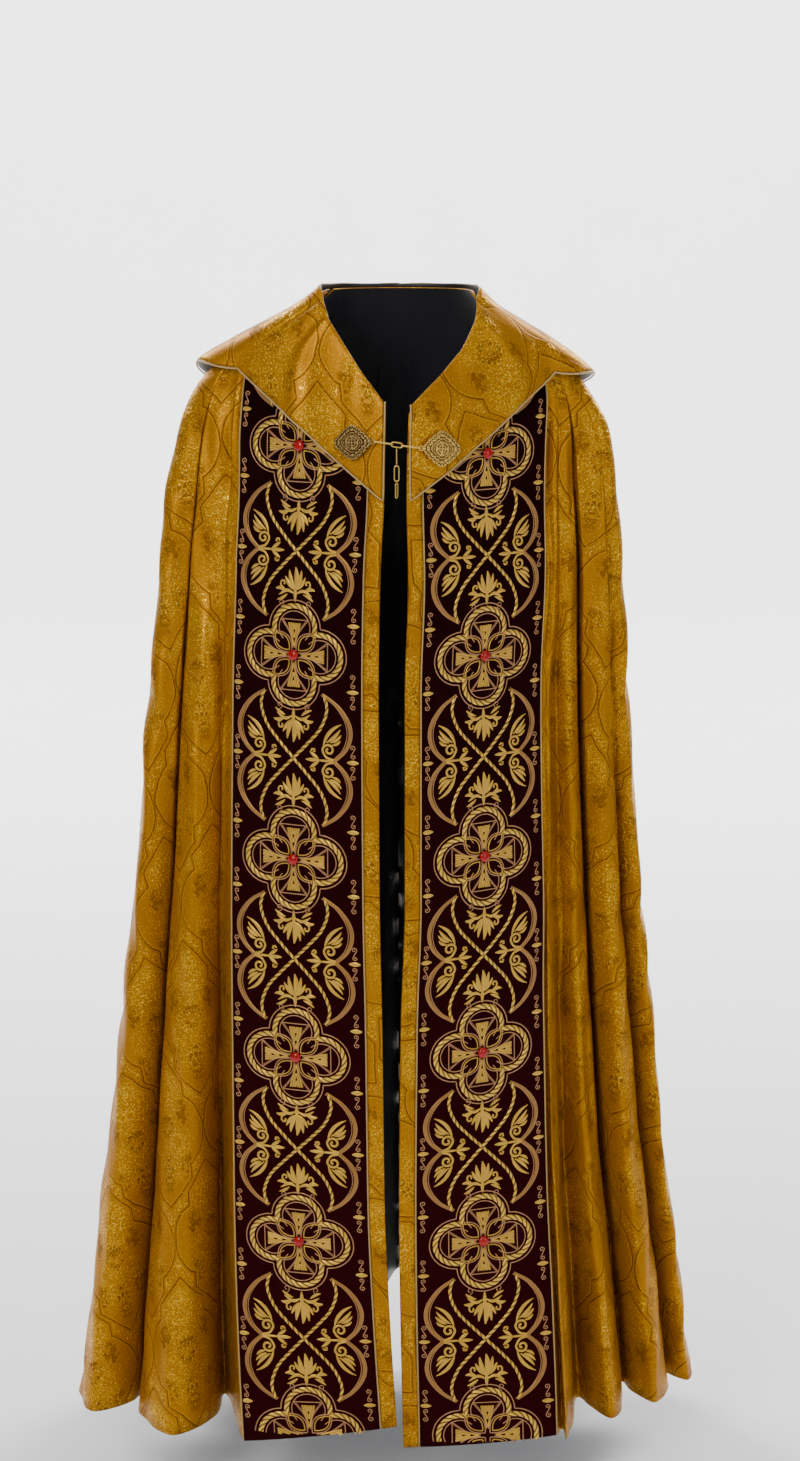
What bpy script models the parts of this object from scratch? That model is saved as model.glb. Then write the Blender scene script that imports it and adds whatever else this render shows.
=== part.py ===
"""A cope: a long open cloak of gold brocade, hollow, as it hangs on the shoulders of its wearer.

Metres, +Z up. The origin is the middle of the neck opening, level with the top of the shoulders, where
the wearer holds the cope up. The fronts face -Y. Left and right are as seen from the front: left is -X.

The cloth hangs on one base surface. Below the collar each half of it is a front panel, from the opening
to the outer edge of the velvet band, and then a side that runs round to the centre back, where the halves
are sewn together. SECTIONS give that surface level by level and FOLDS give the pipes that open towards
the hem. Every flat piece is a wall between two copies of the same base points, moved out by its layer.
"""

import math

import bpy
import numpy as np
from mathutils import Matrix, Vector

GAP = 0.0003  # between cloths that touch or are sewn together
HEM = -1.450

# Layers, as distances out from the mantle's outer face: (inner face, outer face).
MANTLE = (-0.0012, 0.0)
LINING = (-0.0025, -0.0015)
STRIP = (GAP, 0.0015)
BAND = (GAP, 0.0018)
PIPING = (GAP, 0.0024)

# Across the front panel, from the opening outwards.
PANEL_REACH = 0.200
STRIP_WIDTH = 0.0195
PIPING_WIDTH = 0.0022
BAND_START = STRIP_WIDTH + PIPING_WIDTH + 2 * GAP
BAND_END = PANEL_REACH - PIPING_WIDTH - GAP
PANEL_BULGE = 0.03  # rise of the panel's middle over its chord, as a share of its reach

# out: the half-width. edge: how far outwards the opening's edge is from the middle. front: how far
# forward it is. reach and turn: the panel's chord from there, turned back by degrees.
SECTION_COLUMNS = ("z", "out", "edge", "front", "reach", "turn")
SECTIONS = {
    "left": (
        (0.000, 0.090, 0.015, 0.076, 0.074, 18),
        (-0.020, 0.112, 0.015, 0.089, 0.098, 19),
        (-0.045, 0.156, 0.015, 0.101, 0.138, 21),
        (-0.070, 0.200, 0.015, 0.110, 0.172, 23),
        (-0.095, 0.234, 0.015, 0.118, 0.190, 25),
        (-0.130, 0.259, 0.015, 0.129, 0.197, 26),
        (-0.180, 0.277, 0.016, 0.136, 0.200, 26),
        (-0.240, 0.289, 0.017, 0.141, 0.200, 26),
        (-0.340, 0.301, 0.022, 0.148, 0.200, 26),
        (-0.480, 0.313, 0.024, 0.156, 0.200, 24),
        (-0.740, 0.333, 0.023, 0.171, 0.200, 20),
        (-0.900, 0.349, 0.020, 0.181, 0.200, 17),
        (-1.145, 0.375, 0.017, 0.193, 0.200, 14),
        (-1.260, 0.388, 0.012, 0.198, 0.200, 10),
        (HEM, 0.410, 0.001, 0.203, 0.200, 1),
    ),
    "right": (
        (0.000, 0.090, 0.013, 0.076, 0.074, 20),
        (-0.020, 0.108, 0.013, 0.089, 0.094, 22),
        (-0.045, 0.148, 0.013, 0.101, 0.130, 24),
        (-0.070, 0.188, 0.013, 0.110, 0.165, 27),
        (-0.095, 0.217, 0.013, 0.118, 0.188, 29),
        (-0.130, 0.241, 0.013, 0.129, 0.197, 30),
        (-0.180, 0.266, 0.011, 0.136, 0.200, 31),
        (-0.240, 0.275, 0.010, 0.141, 0.200, 31),
        (-0.340, 0.286, 0.012, 0.148, 0.200, 31),
        (-0.480, 0.296, 0.008, 0.156, 0.200, 31),
        (-0.740, 0.311, 0.008, 0.171, 0.200, 28),
        (-0.900, 0.326, 0.003, 0.181, 0.200, 24),
        (-1.145, 0.351, 0.001, 0.193, 0.200, 17),
        (-1.260, 0.366, 0.002, 0.198, 0.200, 11),
        (HEM, 0.390, 0.006, 0.203, 0.200, 2),
    ),
}
BACK = (  # z, and how far back the centre back hangs
    (0.000, 0.076),
    (-0.045, 0.104),
    (-0.095, 0.128),
    (-0.180, 0.152),
    (-0.340, 0.174),
    (-0.740, 0.205),
    (HEM, 0.262),
)
SIDE_SHARE = 0.30  # of the way from the band to the centre back, where the half is widest
SIDE_ROUND = 1.0  # length of the ring's tangents over its chord at the side
BACK_ROUND = 1.85  # and over its half-widths at the back

NECKLINE = {  # z, and how far outwards the collar's inner edge is
    "left": (
        (0.0, 0.090),
        (-0.013, 0.088),
        (-0.035, 0.080),
        (-0.065, 0.0605),
        (-0.099, 0.0375),
        (-0.127, 0.015),
    ),
    "right": (
        (0.0, 0.092),
        (-0.025, 0.091),
        (-0.039, 0.088),
        (-0.069, 0.072),
        (-0.099, 0.046),
        (-0.130, 0.013),
    ),
}
NECK_SETBACK = 0.004  # how far the mantle's neckline stops short of the collar's
NECK_LOWEST = -0.14  # where the search for the neckline starts
SEARCH_STEPS = 40  # halvings in each search

# The folds at the hem, from the band round to the centre back. out and y: where the crest or valley is.
# width: across a pipe, and 0 at a valley. starts: the height where it fades out. growth: below 1 it
# opens at once, above 1 it opens mostly near the hem.
FOLDS = {
    "left": (
        (0.232, -0.082, 0, -0.30, 1.40),
        (0.292, -0.192, 0.098, -0.12, 1.00),
        (0.342, -0.072, 0, -0.11, 0.80),
        (0.404, -0.130, 0.080, -0.16, 1.00),
        (0.400, 0.000, 0, -0.16, 0.90),
        (0.424, 0.086, 0.084, -0.20, 1.00),
        (0.352, 0.116, 0, -0.18, 0.95),
        (0.338, 0.214, 0.100, -0.24, 1.05),
        (0.228, 0.178, 0, -0.20, 0.95),
        (0.210, 0.284, 0.094, -0.26, 1.10),
        (0.118, 0.195, 0, -0.22, 1.00),
        (0.085, 0.298, 0.070, -0.28, 1.00),
        (0.030, 0.210, 0, -0.24, 1.05),
    ),
    "right": (
        (0.216, -0.202, 0.012, -0.50, 1.30),
        (0.240, -0.092, 0, -0.34, 1.30),
        (0.279, -0.148, 0.044, -0.13, 1.00),
        (0.302, -0.050, 0, -0.11, 0.80),
        (0.343, -0.108, 0.050, -0.30, 1.00),
        (0.357, -0.006, 0, -0.30, 1.00),
        (0.392, -0.046, 0.036, -0.20, 1.00),
        (0.372, 0.046, 0, -0.20, 0.95),
        (0.396, 0.116, 0.080, -0.22, 1.00),
        (0.326, 0.134, 0, -0.18, 0.95),
        (0.306, 0.226, 0.096, -0.26, 1.05),
        (0.195, 0.180, 0, -0.20, 0.95),
        (0.180, 0.286, 0.090, -0.24, 1.10),
        (0.088, 0.196, 0, -0.22, 1.00),
        (0.066, 0.286, 0.060, -0.30, 1.00),
        (0.026, 0.212, 0, -0.26, 1.05),
    ),
}
CENTRE_CREST = (0.0, 0.298, -0.26, 1.00)  # out, y, starts and growth of the crest at the centre back
HEM_MIDDLE = (0.0, 0.03)  # of the hem's plan, from which directions are taken
LONGEST_MITRE = 1.6
LEAST_STEP = 0.006  # in q, between two control points
PIPE_ROUND = 0.45  # how far down its depth a pipe is at its full width

HEM_RISE = {  # how far the hem is above HEM at the opening and at the band's outer edge
    "left": (0.019, -0.003),
    "right": (-0.010, 0.003),
}

# Share of the way from the neckline to the hem. The band and the strip start at row COVERED.
ROWS = (0, 0.014, 0.045, 0.075, 0.11, 0.16, 0.23, 0.33, 0.46, 0.61, 0.80, 1)
COVERED = 2
BAND_COLUMNS = 4

# The collar, from the centre front to the centre back: the outer edge's point in the front view (out, z),
# then what share of the neckline has passed, and how far it stands off. side: -1 in front, 0 on the
# shoulder line and 1 behind.
COLLAR_THICK = 0.0018
COLLAR_LINING_THICK = 0.0008
COLLAR = {
    "left": (
        (0.0150, -0.2400, -1, 0.00, 0.0085),
        (0.0580, -0.2060, -1, 0.16, 0.0085),
        (0.1020, -0.1690, -1, 0.32, 0.0085),
        (0.1460, -0.1310, -1, 0.45, 0.0090),
        (0.1920, -0.0920, -1, 0.53, 0.0110),
        (0.2360, -0.0960, 0, 0.60, 0.0170),
        (0.2150, -0.1250, 1, 0.68, 0.0100),
        (0.1500, -0.1660, 1, 0.80, 0.0090),
        (0.0780, -0.1920, 1, 0.90, 0.0085),
        (0.0000, -0.2020, 1, 1.00, 0.0085),
    ),
    "right": (
        (0.0120, -0.2400, -1, 0.00, 0.0085),
        (0.0560, -0.2090, -1, 0.16, 0.0085),
        (0.1000, -0.1735, -1, 0.32, 0.0085),
        (0.1460, -0.1330, -1, 0.45, 0.0090),
        (0.1880, -0.0980, -1, 0.53, 0.0110),
        (0.2230, -0.1090, 0, 0.60, 0.0170),
        (0.2050, -0.1320, 1, 0.68, 0.0100),
        (0.1450, -0.1700, 1, 0.80, 0.0090),
        (0.0760, -0.1930, 1, 0.90, 0.0085),
        (0.0000, -0.2020, 1, 1.00, 0.0085),
    ),
}
COLLAR_NECK_FRONT = 0.62  # share of the neckline's length that is the V in front
COLLAR_ROWS = 8
COLLAR_SPLIT = 2  # columns for each row of the table
COLLAR_PIPING = 0.0024
COLLAR_PIPING_GAP = 0.0007

# The clasp: two cast plates joined by links, with a tail of links that hangs free.
PLATES = {  # out, z, width, height and tilt in degrees
    "left": (0.0490, -0.1750, 0.050, 0.044, 4),
    "right": (0.0447, -0.1825, 0.0535, 0.0455, -4),
}
PLATE_THICK = 0.0028
RING_LEVEL = 0.7  # of the plate's thickness
PLATE_GAP = 0.0056
PLATE_LOZENGE = 1.3  # power of the outline: 1 is a diamond and 2 an ellipse
PLATE_SCALLOPS = 16
PLATE_SCALLOP_DEPTH = 0.0014
WIRE = 0.0008  # radius
RING_RADIUS = 0.0026  # of the plates' rings, to the middle of the wire
RING_SUNK = 0.0010  # how deep the ring is set into its plate
LINK_LENGTH = 0.0200
MIDDLE_LINK = 0.0150
LINK_WIDTH = 0.0070
LINK_PLAY = 0.0003  # between the wires of two linked links
WIRE_SIDES = 8
LINK_ARC_STEPS = 7
TAIL_TURNS = (90, 0, 62)  # of each tail link about its own length, in degrees

JEWEL_LEVELS = {
    "left": (-0.182, -0.437, -0.692, -0.944, -1.186),
    "right": (-0.192, -0.440, -0.692, -0.942, -1.187),
}
JEWEL_RADIUS = 0.0070
JEWEL_HEIGHT = 0.0048
JEWEL_GIRDLE = 0.0010
JEWEL_GAP = 0.0010
JEWEL_SIDES = 16
JEWEL_STEPS = 4
JEWEL_SHIFT = {"left": 0.002, "right": -0.001}  # outwards from the band's middle


def clear_scene():
    for thing in list(bpy.data.objects):
        bpy.data.objects.remove(thing)


def material(name, colour, roughness, metallic=0.0):
    made = bpy.data.materials.new(name)
    made.use_nodes = True
    shader = made.node_tree.nodes["Principled BSDF"]
    shader.inputs["Base Color"].default_value = (*colour, 1)
    shader.inputs["Roughness"].default_value = roughness
    shader.inputs["Metallic"].default_value = metallic
    made.diffuse_color = (*colour, 1)
    return made


# ---- curves through tables


def through(xs, ys, x):
    """The value at x of a smooth curve through the points, with no overshoot between them."""
    xs, ys = np.asarray(xs, float), np.asarray(ys, float)
    if xs[0] > xs[-1]:
        xs, ys = xs[::-1], ys[::-1]
    steps = np.diff(xs)
    rises = np.diff(ys) / steps
    slopes = np.empty(len(xs))
    slopes[0], slopes[-1] = rises[0], rises[-1]
    for i in range(1, len(xs) - 1):
        before, after = rises[i - 1], rises[i]
        slopes[i] = 0 if before * after <= 0 else 2 * before * after / (before + after)
    x = min(max(x, xs[0]), xs[-1])
    i = min(int(np.searchsorted(xs, x, "right")) - 1, len(steps) - 1)
    t = (x - xs[i]) / steps[i]
    return hermite(ys[i], slopes[i] * steps[i], ys[i + 1], slopes[i + 1] * steps[i], t)


def hermite(start, leaving, end, arriving, t):
    return (
        start * (1 + 2 * t) * (1 - t) ** 2
        + leaving * t * (1 - t) ** 2
        + end * t * t * (3 - 2 * t)
        + arriving * t * t * (t - 1)
    )


def rounded(points, s):
    """A smooth curve through the points, one for each whole s, with an end tangent mirrored at each end."""
    k = min(int(s), len(points) - 2)
    before = points[max(k - 1, 0)]
    start, end = points[k], points[k + 1]
    after = points[min(k + 2, len(points) - 1)]
    spans = [max(math.dist(a, b), 1e-6) ** 0.5 for a, b in ((before, start), (start, end), (end, after))]
    here = [np.array(p, float) for p in (before, start, end, after)]
    leaving = (here[2] - here[1]) / spans[1]
    arriving = leaving
    if k > 0:
        first = (here[1] - here[0]) / spans[0]
        leaving = first + (leaving - first) * spans[0] / (spans[0] + spans[1])
    if k + 2 < len(points):
        last = (here[3] - here[2]) / spans[2]
        middle = (here[2] - here[1]) / spans[1]
        arriving = middle + (last - middle) * spans[1] / (spans[1] + spans[2])
    return hermite(here[1], leaving * spans[1], here[2], arriving * spans[1], s - k)


def section(side, z):
    rows = SECTIONS[side]
    levels = [row[0] for row in rows]
    columns = enumerate(SECTION_COLUMNS[1:], 1)
    found = {name: through(levels, [row[i] for row in rows], z) for i, name in columns}
    found["back"] = through([row[0] for row in BACK], [row[1] for row in BACK], z)
    return found


def neck_out(side, z):
    rows = NECKLINE[side]
    return float(np.interp(-z, [-row[0] for row in rows], [row[1] for row in rows]))


# ---- the base surface, in a half's own plan: (outwards, y)


def base(side, q, z):
    """The unfolded surface. q is 0 at the opening, 1 at the band's outer edge and 2 at the centre back."""
    at = section(side, z)
    turn = math.radians(at["turn"])
    along = np.array((math.cos(turn), math.sin(turn)))
    outwards = np.array((along[1], -along[0]))
    start = np.array((at["edge"], -at["front"]))
    rise = 4 * PANEL_BULGE * at["reach"]
    if q <= 1:
        return start + along * at["reach"] * q + outwards * rise * q * (1 - q)
    edge = start + along * at["reach"]
    widest = np.array((at["out"], 0.0))
    if q < 1 + SIDE_SHARE:
        size = SIDE_ROUND * np.linalg.norm(widest - edge)
        leaving = along * at["reach"] - outwards * rise
        leaving *= size / np.linalg.norm(leaving)
        return hermite(edge, leaving, widest, np.array((0.0, size)), (q - 1) / SIDE_SHARE)
    back = np.array((0.0, at["back"]))
    leaving = np.array((0.0, at["back"] * BACK_ROUND))
    arriving = np.array((-at["out"] * BACK_ROUND, 0.0))
    return hermite(widest, leaving, back, arriving, (q - 1 - SIDE_SHARE) / (1 - SIDE_SHARE))


def q_towards(side, point):
    """Where the base surface at the hem lies in the direction of a point of the hem's plan."""
    centre = np.array(HEM_MIDDLE)
    wanted = math.atan2(point[0] - centre[0], centre[1] - point[1])
    low, high = 1.0, 2.0
    for _ in range(SEARCH_STEPS):
        middle = (low + high) / 2
        there = base(side, middle, HEM)
        if math.atan2(there[0] - centre[0], centre[1] - there[1]) < wanted:
            low = middle
        else:
            high = middle
    return low


def fold_points(side):
    """Control points of the folded hem: (plan point, starts, growth), and which of them border a crest."""
    panel_end = base(side, 1, HEM)
    rows = FOLDS[side]
    places = [panel_end, *(np.array(row[:2]) for row in rows), np.array(CENTRE_CREST[:2])]
    points = [(panel_end, rows[0][3], rows[0][4])]
    crests = []
    for i, (out, y, width, starts, growth) in enumerate(rows, 1):
        if not width:
            points.append((places[i], starts, growth))
            continue
        crest = places[i]
        foot = (places[i - 1] + places[i + 1]) / 2
        outwards = crest - foot
        depth = np.linalg.norm(outwards)
        outwards /= depth
        along = np.array((-outwards[1], outwards[0]))
        if along @ (places[i + 1] - places[i - 1]) < 0:
            along = -along
        inwards = outwards * depth * PIPE_ROUND
        crests.append(len(points) + 1)
        for way in (-1, 0, 1):
            points.append((crest + along * width / 2 * way - inwards * abs(way), starts, growth))
    crests.append(len(points))
    points.append((places[-1], *CENTRE_CREST[2:]))
    return points, crests


class Half:
    """One half of the mantle. s runs from -1 at the opening to 0 at the band's outer edge, then to last."""

    def __init__(self, side):
        self.side = side
        self.mirror = -1 if side == "left" else 1
        self.points, self.crests = fold_points(side)
        self.last = len(self.points) - 1
        plan = [p for p, _, _ in self.points]
        self.qs = self.spread(plan)
        self.plan = plan + [np.array((-plan[-2][0], plan[-2][1]))]

    def spread(self, plan):
        """The q of each control point: in front by how far outwards it is, and behind by its direction."""
        behind = next(i for i, (_, y) in enumerate(plan) if y >= 0)
        outs = [out for out, _ in plan[:behind]]
        widest = base(self.side, 1 + SIDE_SHARE, HEM)[0]
        share = (widest - outs[0]) / (max(outs) - outs[0])
        found = [1.0]
        for i, point in enumerate(plan[1:-1], 1):
            if i < behind:
                q = q_at(self.side, outs[0] + (point[0] - outs[0]) * share, HEM, -1)
            else:
                q = q_towards(self.side, point)
            found.append(max(q, found[-1] + LEAST_STEP))
        return [*found, 2.0]

    def place(self, s, z):
        if s <= 0:
            out, y = base(self.side, s + 1, z)
        else:
            q = float(np.interp(s, range(self.last + 1), self.qs))
            starts = float(np.interp(s, range(self.last + 1), [p[1] for p in self.points]))
            growth = float(np.interp(s, range(self.last + 1), [p[2] for p in self.points]))
            opened = max(0.0, (starts - z) / (starts - HEM)) ** growth
            out, y = base(self.side, q, z) + opened * (rounded(self.plan, s) - base(self.side, q, HEM))
        return np.array((self.mirror * out, y, z))

    def top(self, s):
        """The height of the mantle's neckline."""
        low, high = NECK_LOWEST, 0.0
        if abs(self.place(s, high)[0]) > neck_out(self.side, high) - NECK_SETBACK or s > self.last / 2:
            return high
        for _ in range(SEARCH_STEPS):
            middle = (low + high) / 2
            inside = abs(self.place(s, middle)[0]) < neck_out(self.side, middle) + NECK_SETBACK
            low, high = (low, middle) if inside else (middle, high)
        return low

    def bottom(self, s):
        at_opening, at_band = HEM_RISE[self.side]
        if s <= 0:
            return HEM + at_band + (at_opening - at_band) * -s
        return HEM + at_band * max(0.0, 1 - s)

    def column(self, s):
        top, bottom = self.top(s), self.bottom(s)
        return [self.place(s, top + (bottom - top) * share) for share in ROWS]

    def panel_s(self, distance):
        """The s at this distance outwards from the opening."""
        return distance / PANEL_REACH - 1


def mantle_columns(half):
    """The s of each column. Those of the pieces on the panel are among them, so that the layers match."""
    band = np.linspace(BAND_START, BAND_END, BAND_COLUMNS)
    marks = [0, STRIP_WIDTH, STRIP_WIDTH + GAP, BAND_START - GAP, *band, BAND_END + GAP, PANEL_REACH]
    found = [half.panel_s(mark) for mark in marks]
    for s in range(1, half.last + 1):
        if s in half.crests or s - 1 in half.crests:
            found.append(s - 0.5)
        found.append(s)
    return found


# ---- walls


def grid_normals(grid):
    """Normals of a grid of points, by columns and rows, longer where two columns of cells meet at a sharp angle."""
    ways = np.diff(grid, axis=0)
    ways /= np.linalg.norm(ways, axis=2, keepdims=True)
    along = np.concatenate((ways[:1], ways[:-1] + ways[1:], ways[-1:]))
    down = np.gradient(grid, axis=1)
    size = np.linalg.norm(along, axis=2, keepdims=True)
    size[[0, -1]] = 2
    normals = np.cross(down, along)
    normals /= np.linalg.norm(normals, axis=2, keepdims=True)
    return normals * np.minimum(2 / size, LONGEST_MITRE)


def add_mesh(name, vertices, faces, finish, smooth=True):
    mesh = bpy.data.meshes.new(name)
    mesh.from_pydata([tuple(map(float, v)) for v in vertices], [], faces)
    mesh.materials.append(finish)
    if smooth:
        mesh.shade_smooth()
    mesh.update()
    made = bpy.data.objects.new(name, mesh)
    bpy.context.scene.collection.objects.link(made)
    return made


def add_wall(name, inner, outer, finish):
    """A closed wall between two grids of the same size. outer is on the side that the normals point to."""
    columns, rows = outer.shape[:2]
    count = columns * rows
    vertices = np.concatenate([outer.reshape(-1, 3), inner.reshape(-1, 3)])

    def at(i, j, layer=0):
        return layer * count + i * rows + j

    faces = []
    for i in range(columns - 1):
        for j in range(rows - 1):
            a, b, c, d = at(i, j), at(i, j + 1), at(i + 1, j + 1), at(i + 1, j)
            faces += [(a, b, c), (a, c, d)]
            faces += [(c + count, b + count, a + count), (d + count, c + count, a + count)]
    rim = [at(i, 0) for i in range(columns)] + [at(columns - 1, j) for j in range(1, rows)]
    rim += [at(i, rows - 1) for i in range(columns - 2, -1, -1)] + [at(0, j) for j in range(rows - 2, 0, -1)]
    for a, b in zip(rim, rim[1:] + rim[:1]):
        faces += [(a, b, b + count), (a, b + count, a + count)]
    made = add_mesh(name, vertices, faces, finish)
    if signed_volume(made.data) < 0:
        made.data.flip_normals()
    return made


def signed_volume(mesh):
    total = 0.0
    mesh.calc_loop_triangles()
    for triangle in mesh.loop_triangles:
        a, b, c = (mesh.vertices[i].co for i in triangle.vertices)
        total += a.dot(b.cross(c))
    return total


def add_half(side, finishes):
    """The mantle's half with its lining, band, strip and pipings."""
    half = Half(side)
    marks = mantle_columns(half)
    grid = np.array([half.column(s) for s in marks])
    normals = grid_normals(grid)
    if side == "left":
        normals = -normals
    for i, width in enumerate(np.diff(marks) * PANEL_REACH):
        if width < 2 * GAP:  # columns this close need one normal, or a wall between them crosses itself
            normals[i : i + 2] = normals[i] + normals[i + 1]
            normals[i : i + 2] /= np.linalg.norm(normals[i : i + 2], axis=2, keepdims=True)
    normals[-1, :, 0] = 0
    normals[-1] /= np.linalg.norm(normals[-1], axis=1, keepdims=True)
    inset = np.zeros_like(grid)
    inset[-1, :, 0] = half.mirror * GAP / 2  # the halves meet at the centre back

    def layer(offset, first=0, last=None, row=0):
        return (grid + normals * offset + inset)[first:last, row:]

    def piece(name, faces, finish, **part):
        add_wall(name, layer(faces[0], **part), layer(faces[1], **part), finishes[finish])

    strip_end, inner_piping = 1, 2
    band_first = 4
    band_last = band_first + BAND_COLUMNS
    piece(f"mantle_{side}", MANTLE, "brocade")
    piece(f"lining_{side}", LINING, "lining")
    piece(f"edge_strip_{side}", STRIP, "brocade", first=0, last=strip_end + 1, row=COVERED)
    piece(f"piping_{side}_inner", PIPING, "piping", first=inner_piping, last=inner_piping + 2, row=COVERED)
    piece(f"orphrey_{side}", BAND, "velvet", first=band_first, last=band_last, row=COVERED)
    piece(f"piping_{side}_outer", PIPING, "piping", first=band_last, last=band_last + 2, row=COVERED)


# ---- collar


def q_at(side, out, z, where):
    """Where the base surface is this far outwards: in front (-1), at the widest point (0) or behind (1)."""
    if where == 0:
        return 1 + SIDE_SHARE
    low, high = (0.0, 1 + SIDE_SHARE) if where < 0 else (2.0, 1 + SIDE_SHARE)
    for _ in range(SEARCH_STEPS):
        middle = (low + high) / 2
        if base(side, middle, z)[0] < out:
            low = middle
        else:
            high = middle
    return (low + high) / 2


def neckline(side, share):
    """(q, z) of the collar's inner edge. The V in front takes COLLAR_NECK_FRONT of it."""
    if share >= COLLAR_NECK_FRONT:
        past = (share - COLLAR_NECK_FRONT) / (1 - COLLAR_NECK_FRONT)
        return 1 + SIDE_SHARE + (1 - SIDE_SHARE) * past, 0.0
    rows = NECKLINE[side]
    z = rows[-1][0] * (1 - share / COLLAR_NECK_FRONT)
    return q_at(side, neck_out(side, z), z, -1), z


def base_frame(side, q, z):
    """A point of the base surface and its outward normal, in the cope's own axes."""
    mirror = -1 if side == "left" else 1
    step = 1e-3

    def spot(q, z):
        out, y = base(side, q, z)
        return np.array((mirror * out, y, z))

    here = spot(q, z)
    along = spot(min(q + step, 2), z) - spot(max(q - step, 0), z)
    down = spot(q, z - step) - spot(q, min(z + step, 0))
    normal = np.cross(down, along) * mirror
    return here, normal / np.linalg.norm(normal)


def collar_grids(side):
    """Grids of the points that the collar lies over, and of its own mid-surface's normals and lifts."""
    rows = [(q_at(side, out, z, where), z, share, lift) for out, z, where, share, lift in COLLAR[side]]
    least = rows[0][3]
    places, normals, lifts = [], [], []
    for k in range(COLLAR_SPLIT * (len(rows) - 1) + 1):
        i = min(k // COLLAR_SPLIT, len(rows) - 2)
        t = k / COLLAR_SPLIT - i
        outer_q, outer_z, share, lift = (a + (b - a) * t for a, b in zip(rows[i], rows[i + 1]))
        inner_q, inner_z = neckline(side, share)
        shares = [row / (COLLAR_ROWS - 1) for row in range(COLLAR_ROWS)]
        ways = [(inner_q + (outer_q - inner_q) * v, inner_z + (outer_z - inner_z) * v) for v in shares]
        column = [base_frame(side, q, z) for q, z in ways]
        places.append([place for place, _ in column])
        normals.append([normal for _, normal in column])
        lifts.append([least + (lift - least) * v * v for v in shares])
    return np.array(places), np.array(normals), np.array(lifts)[:, :, None]


def add_collar(finishes):
    left, right = collar_grids("left"), collar_grids("right")
    places, normals, lifts = (np.concatenate([a, b[-2::-1]]) for a, b in zip(left, right))
    inner = places + normals * lifts
    outer = inner + normals * COLLAR_THICK
    add_wall("collar", inner, outer, finishes["brocade"])
    below = inner - normals * GAP
    add_wall("collar_lining", below - normals * COLLAR_LINING_THICK, below, finishes["lining"])
    add_collar_piping((inner + outer) / 2, normals, finishes["piping"])


def add_collar_piping(middle, normals, finish):
    """A cord along the collar's centre-front and outer edges."""
    columns = len(middle)
    edge = [(middle[0, j], middle[0, j] - middle[1, j], normals[0, j]) for j in range(COLLAR_ROWS - 1)]
    edge += [(middle[i, -1], middle[i, -1] - middle[i, -2], normals[i, -1]) for i in range(columns)]
    upwards = range(COLLAR_ROWS - 2, -1, -1)
    edge += [(middle[-1, j], middle[-1, j] - middle[-2, j], normals[-1, j]) for j in upwards]
    corners = (COLLAR_ROWS - 1, COLLAR_ROWS - 2 + columns)
    rings = []
    for i, (place, away, normal) in enumerate(edge):
        before = edge[max(i - 1, 0)][0]
        after = edge[min(i + 1, len(edge) - 1)][0]
        if i in corners:
            ways = (place - before, place - after)
            away = sum(way / np.linalg.norm(way) for way in ways)
            reach = math.sqrt(2)
        else:
            run = (after - before) / np.linalg.norm(after - before)
            sideways = np.cross(run, normal)
            away = sideways if sideways @ away > 0 else -sideways
            reach = 1
        away = away / np.linalg.norm(away)
        near = place + away * COLLAR_PIPING_GAP * reach
        far = near + away * COLLAR_PIPING * reach
        half = normal * COLLAR_PIPING / 2
        rings.append((near + half, far + half, far - half, near - half))
    vertices = [point for ring in rings for point in ring]
    faces = [(0, 1, 2), (0, 2, 3)]
    for k in range(len(rings) - 1):
        for side in range(4):
            a, b = 4 * k + side, 4 * k + (side + 1) % 4
            faces += [(a, a + 4, b + 4), (a, b + 4, b)]
    end = 4 * (len(rings) - 1)
    faces += [(end, end + 2, end + 1), (end, end + 3, end + 2)]
    made = add_mesh("collar_piping", vertices, faces, finish)
    if signed_volume(made.data) < 0:
        made.data.flip_normals()


# ---- clasp and jewels


def link_path(length, width):
    """Centre line of a link's wire in its own plane, long axis along Z, as a closed ring."""
    radius = width / 2 - WIRE
    straight = length / 2 - WIRE - radius
    path = []
    for end in (1, -1):
        for step in range(LINK_ARC_STEPS + 1):
            angle = math.pi * step / LINK_ARC_STEPS
            path.append((end * radius * math.cos(angle), 0, end * (straight + radius * math.sin(angle))))
    return path


def add_ring(name, path, finish, radius=WIRE):
    """A wire along a closed path that lies in the XZ plane."""
    points = [Vector(p) for p in path]
    vertices, faces = [], []
    for i, point in enumerate(points):
        run = (points[(i + 1) % len(points)] - points[i - 1]).normalized()
        sideways = Vector((0, 1, 0)).cross(run).normalized()
        for side in range(WIRE_SIDES):
            angle = 2 * math.pi * side / WIRE_SIDES
            offset = sideways * math.cos(angle) + Vector((0, math.sin(angle), 0))
            vertices.append(point + offset * radius)
    for i in range(len(points)):
        j = (i + 1) % len(points)
        for side in range(WIRE_SIDES):
            beside = (side + 1) % WIRE_SIDES
            here, there = i * WIRE_SIDES, j * WIRE_SIDES
            faces.append((here + side, here + beside, there + beside, there + side))
    made = add_mesh(name, vertices, faces, finish)
    if signed_volume(made.data) < 0:
        made.data.flip_normals()
    return made


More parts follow.
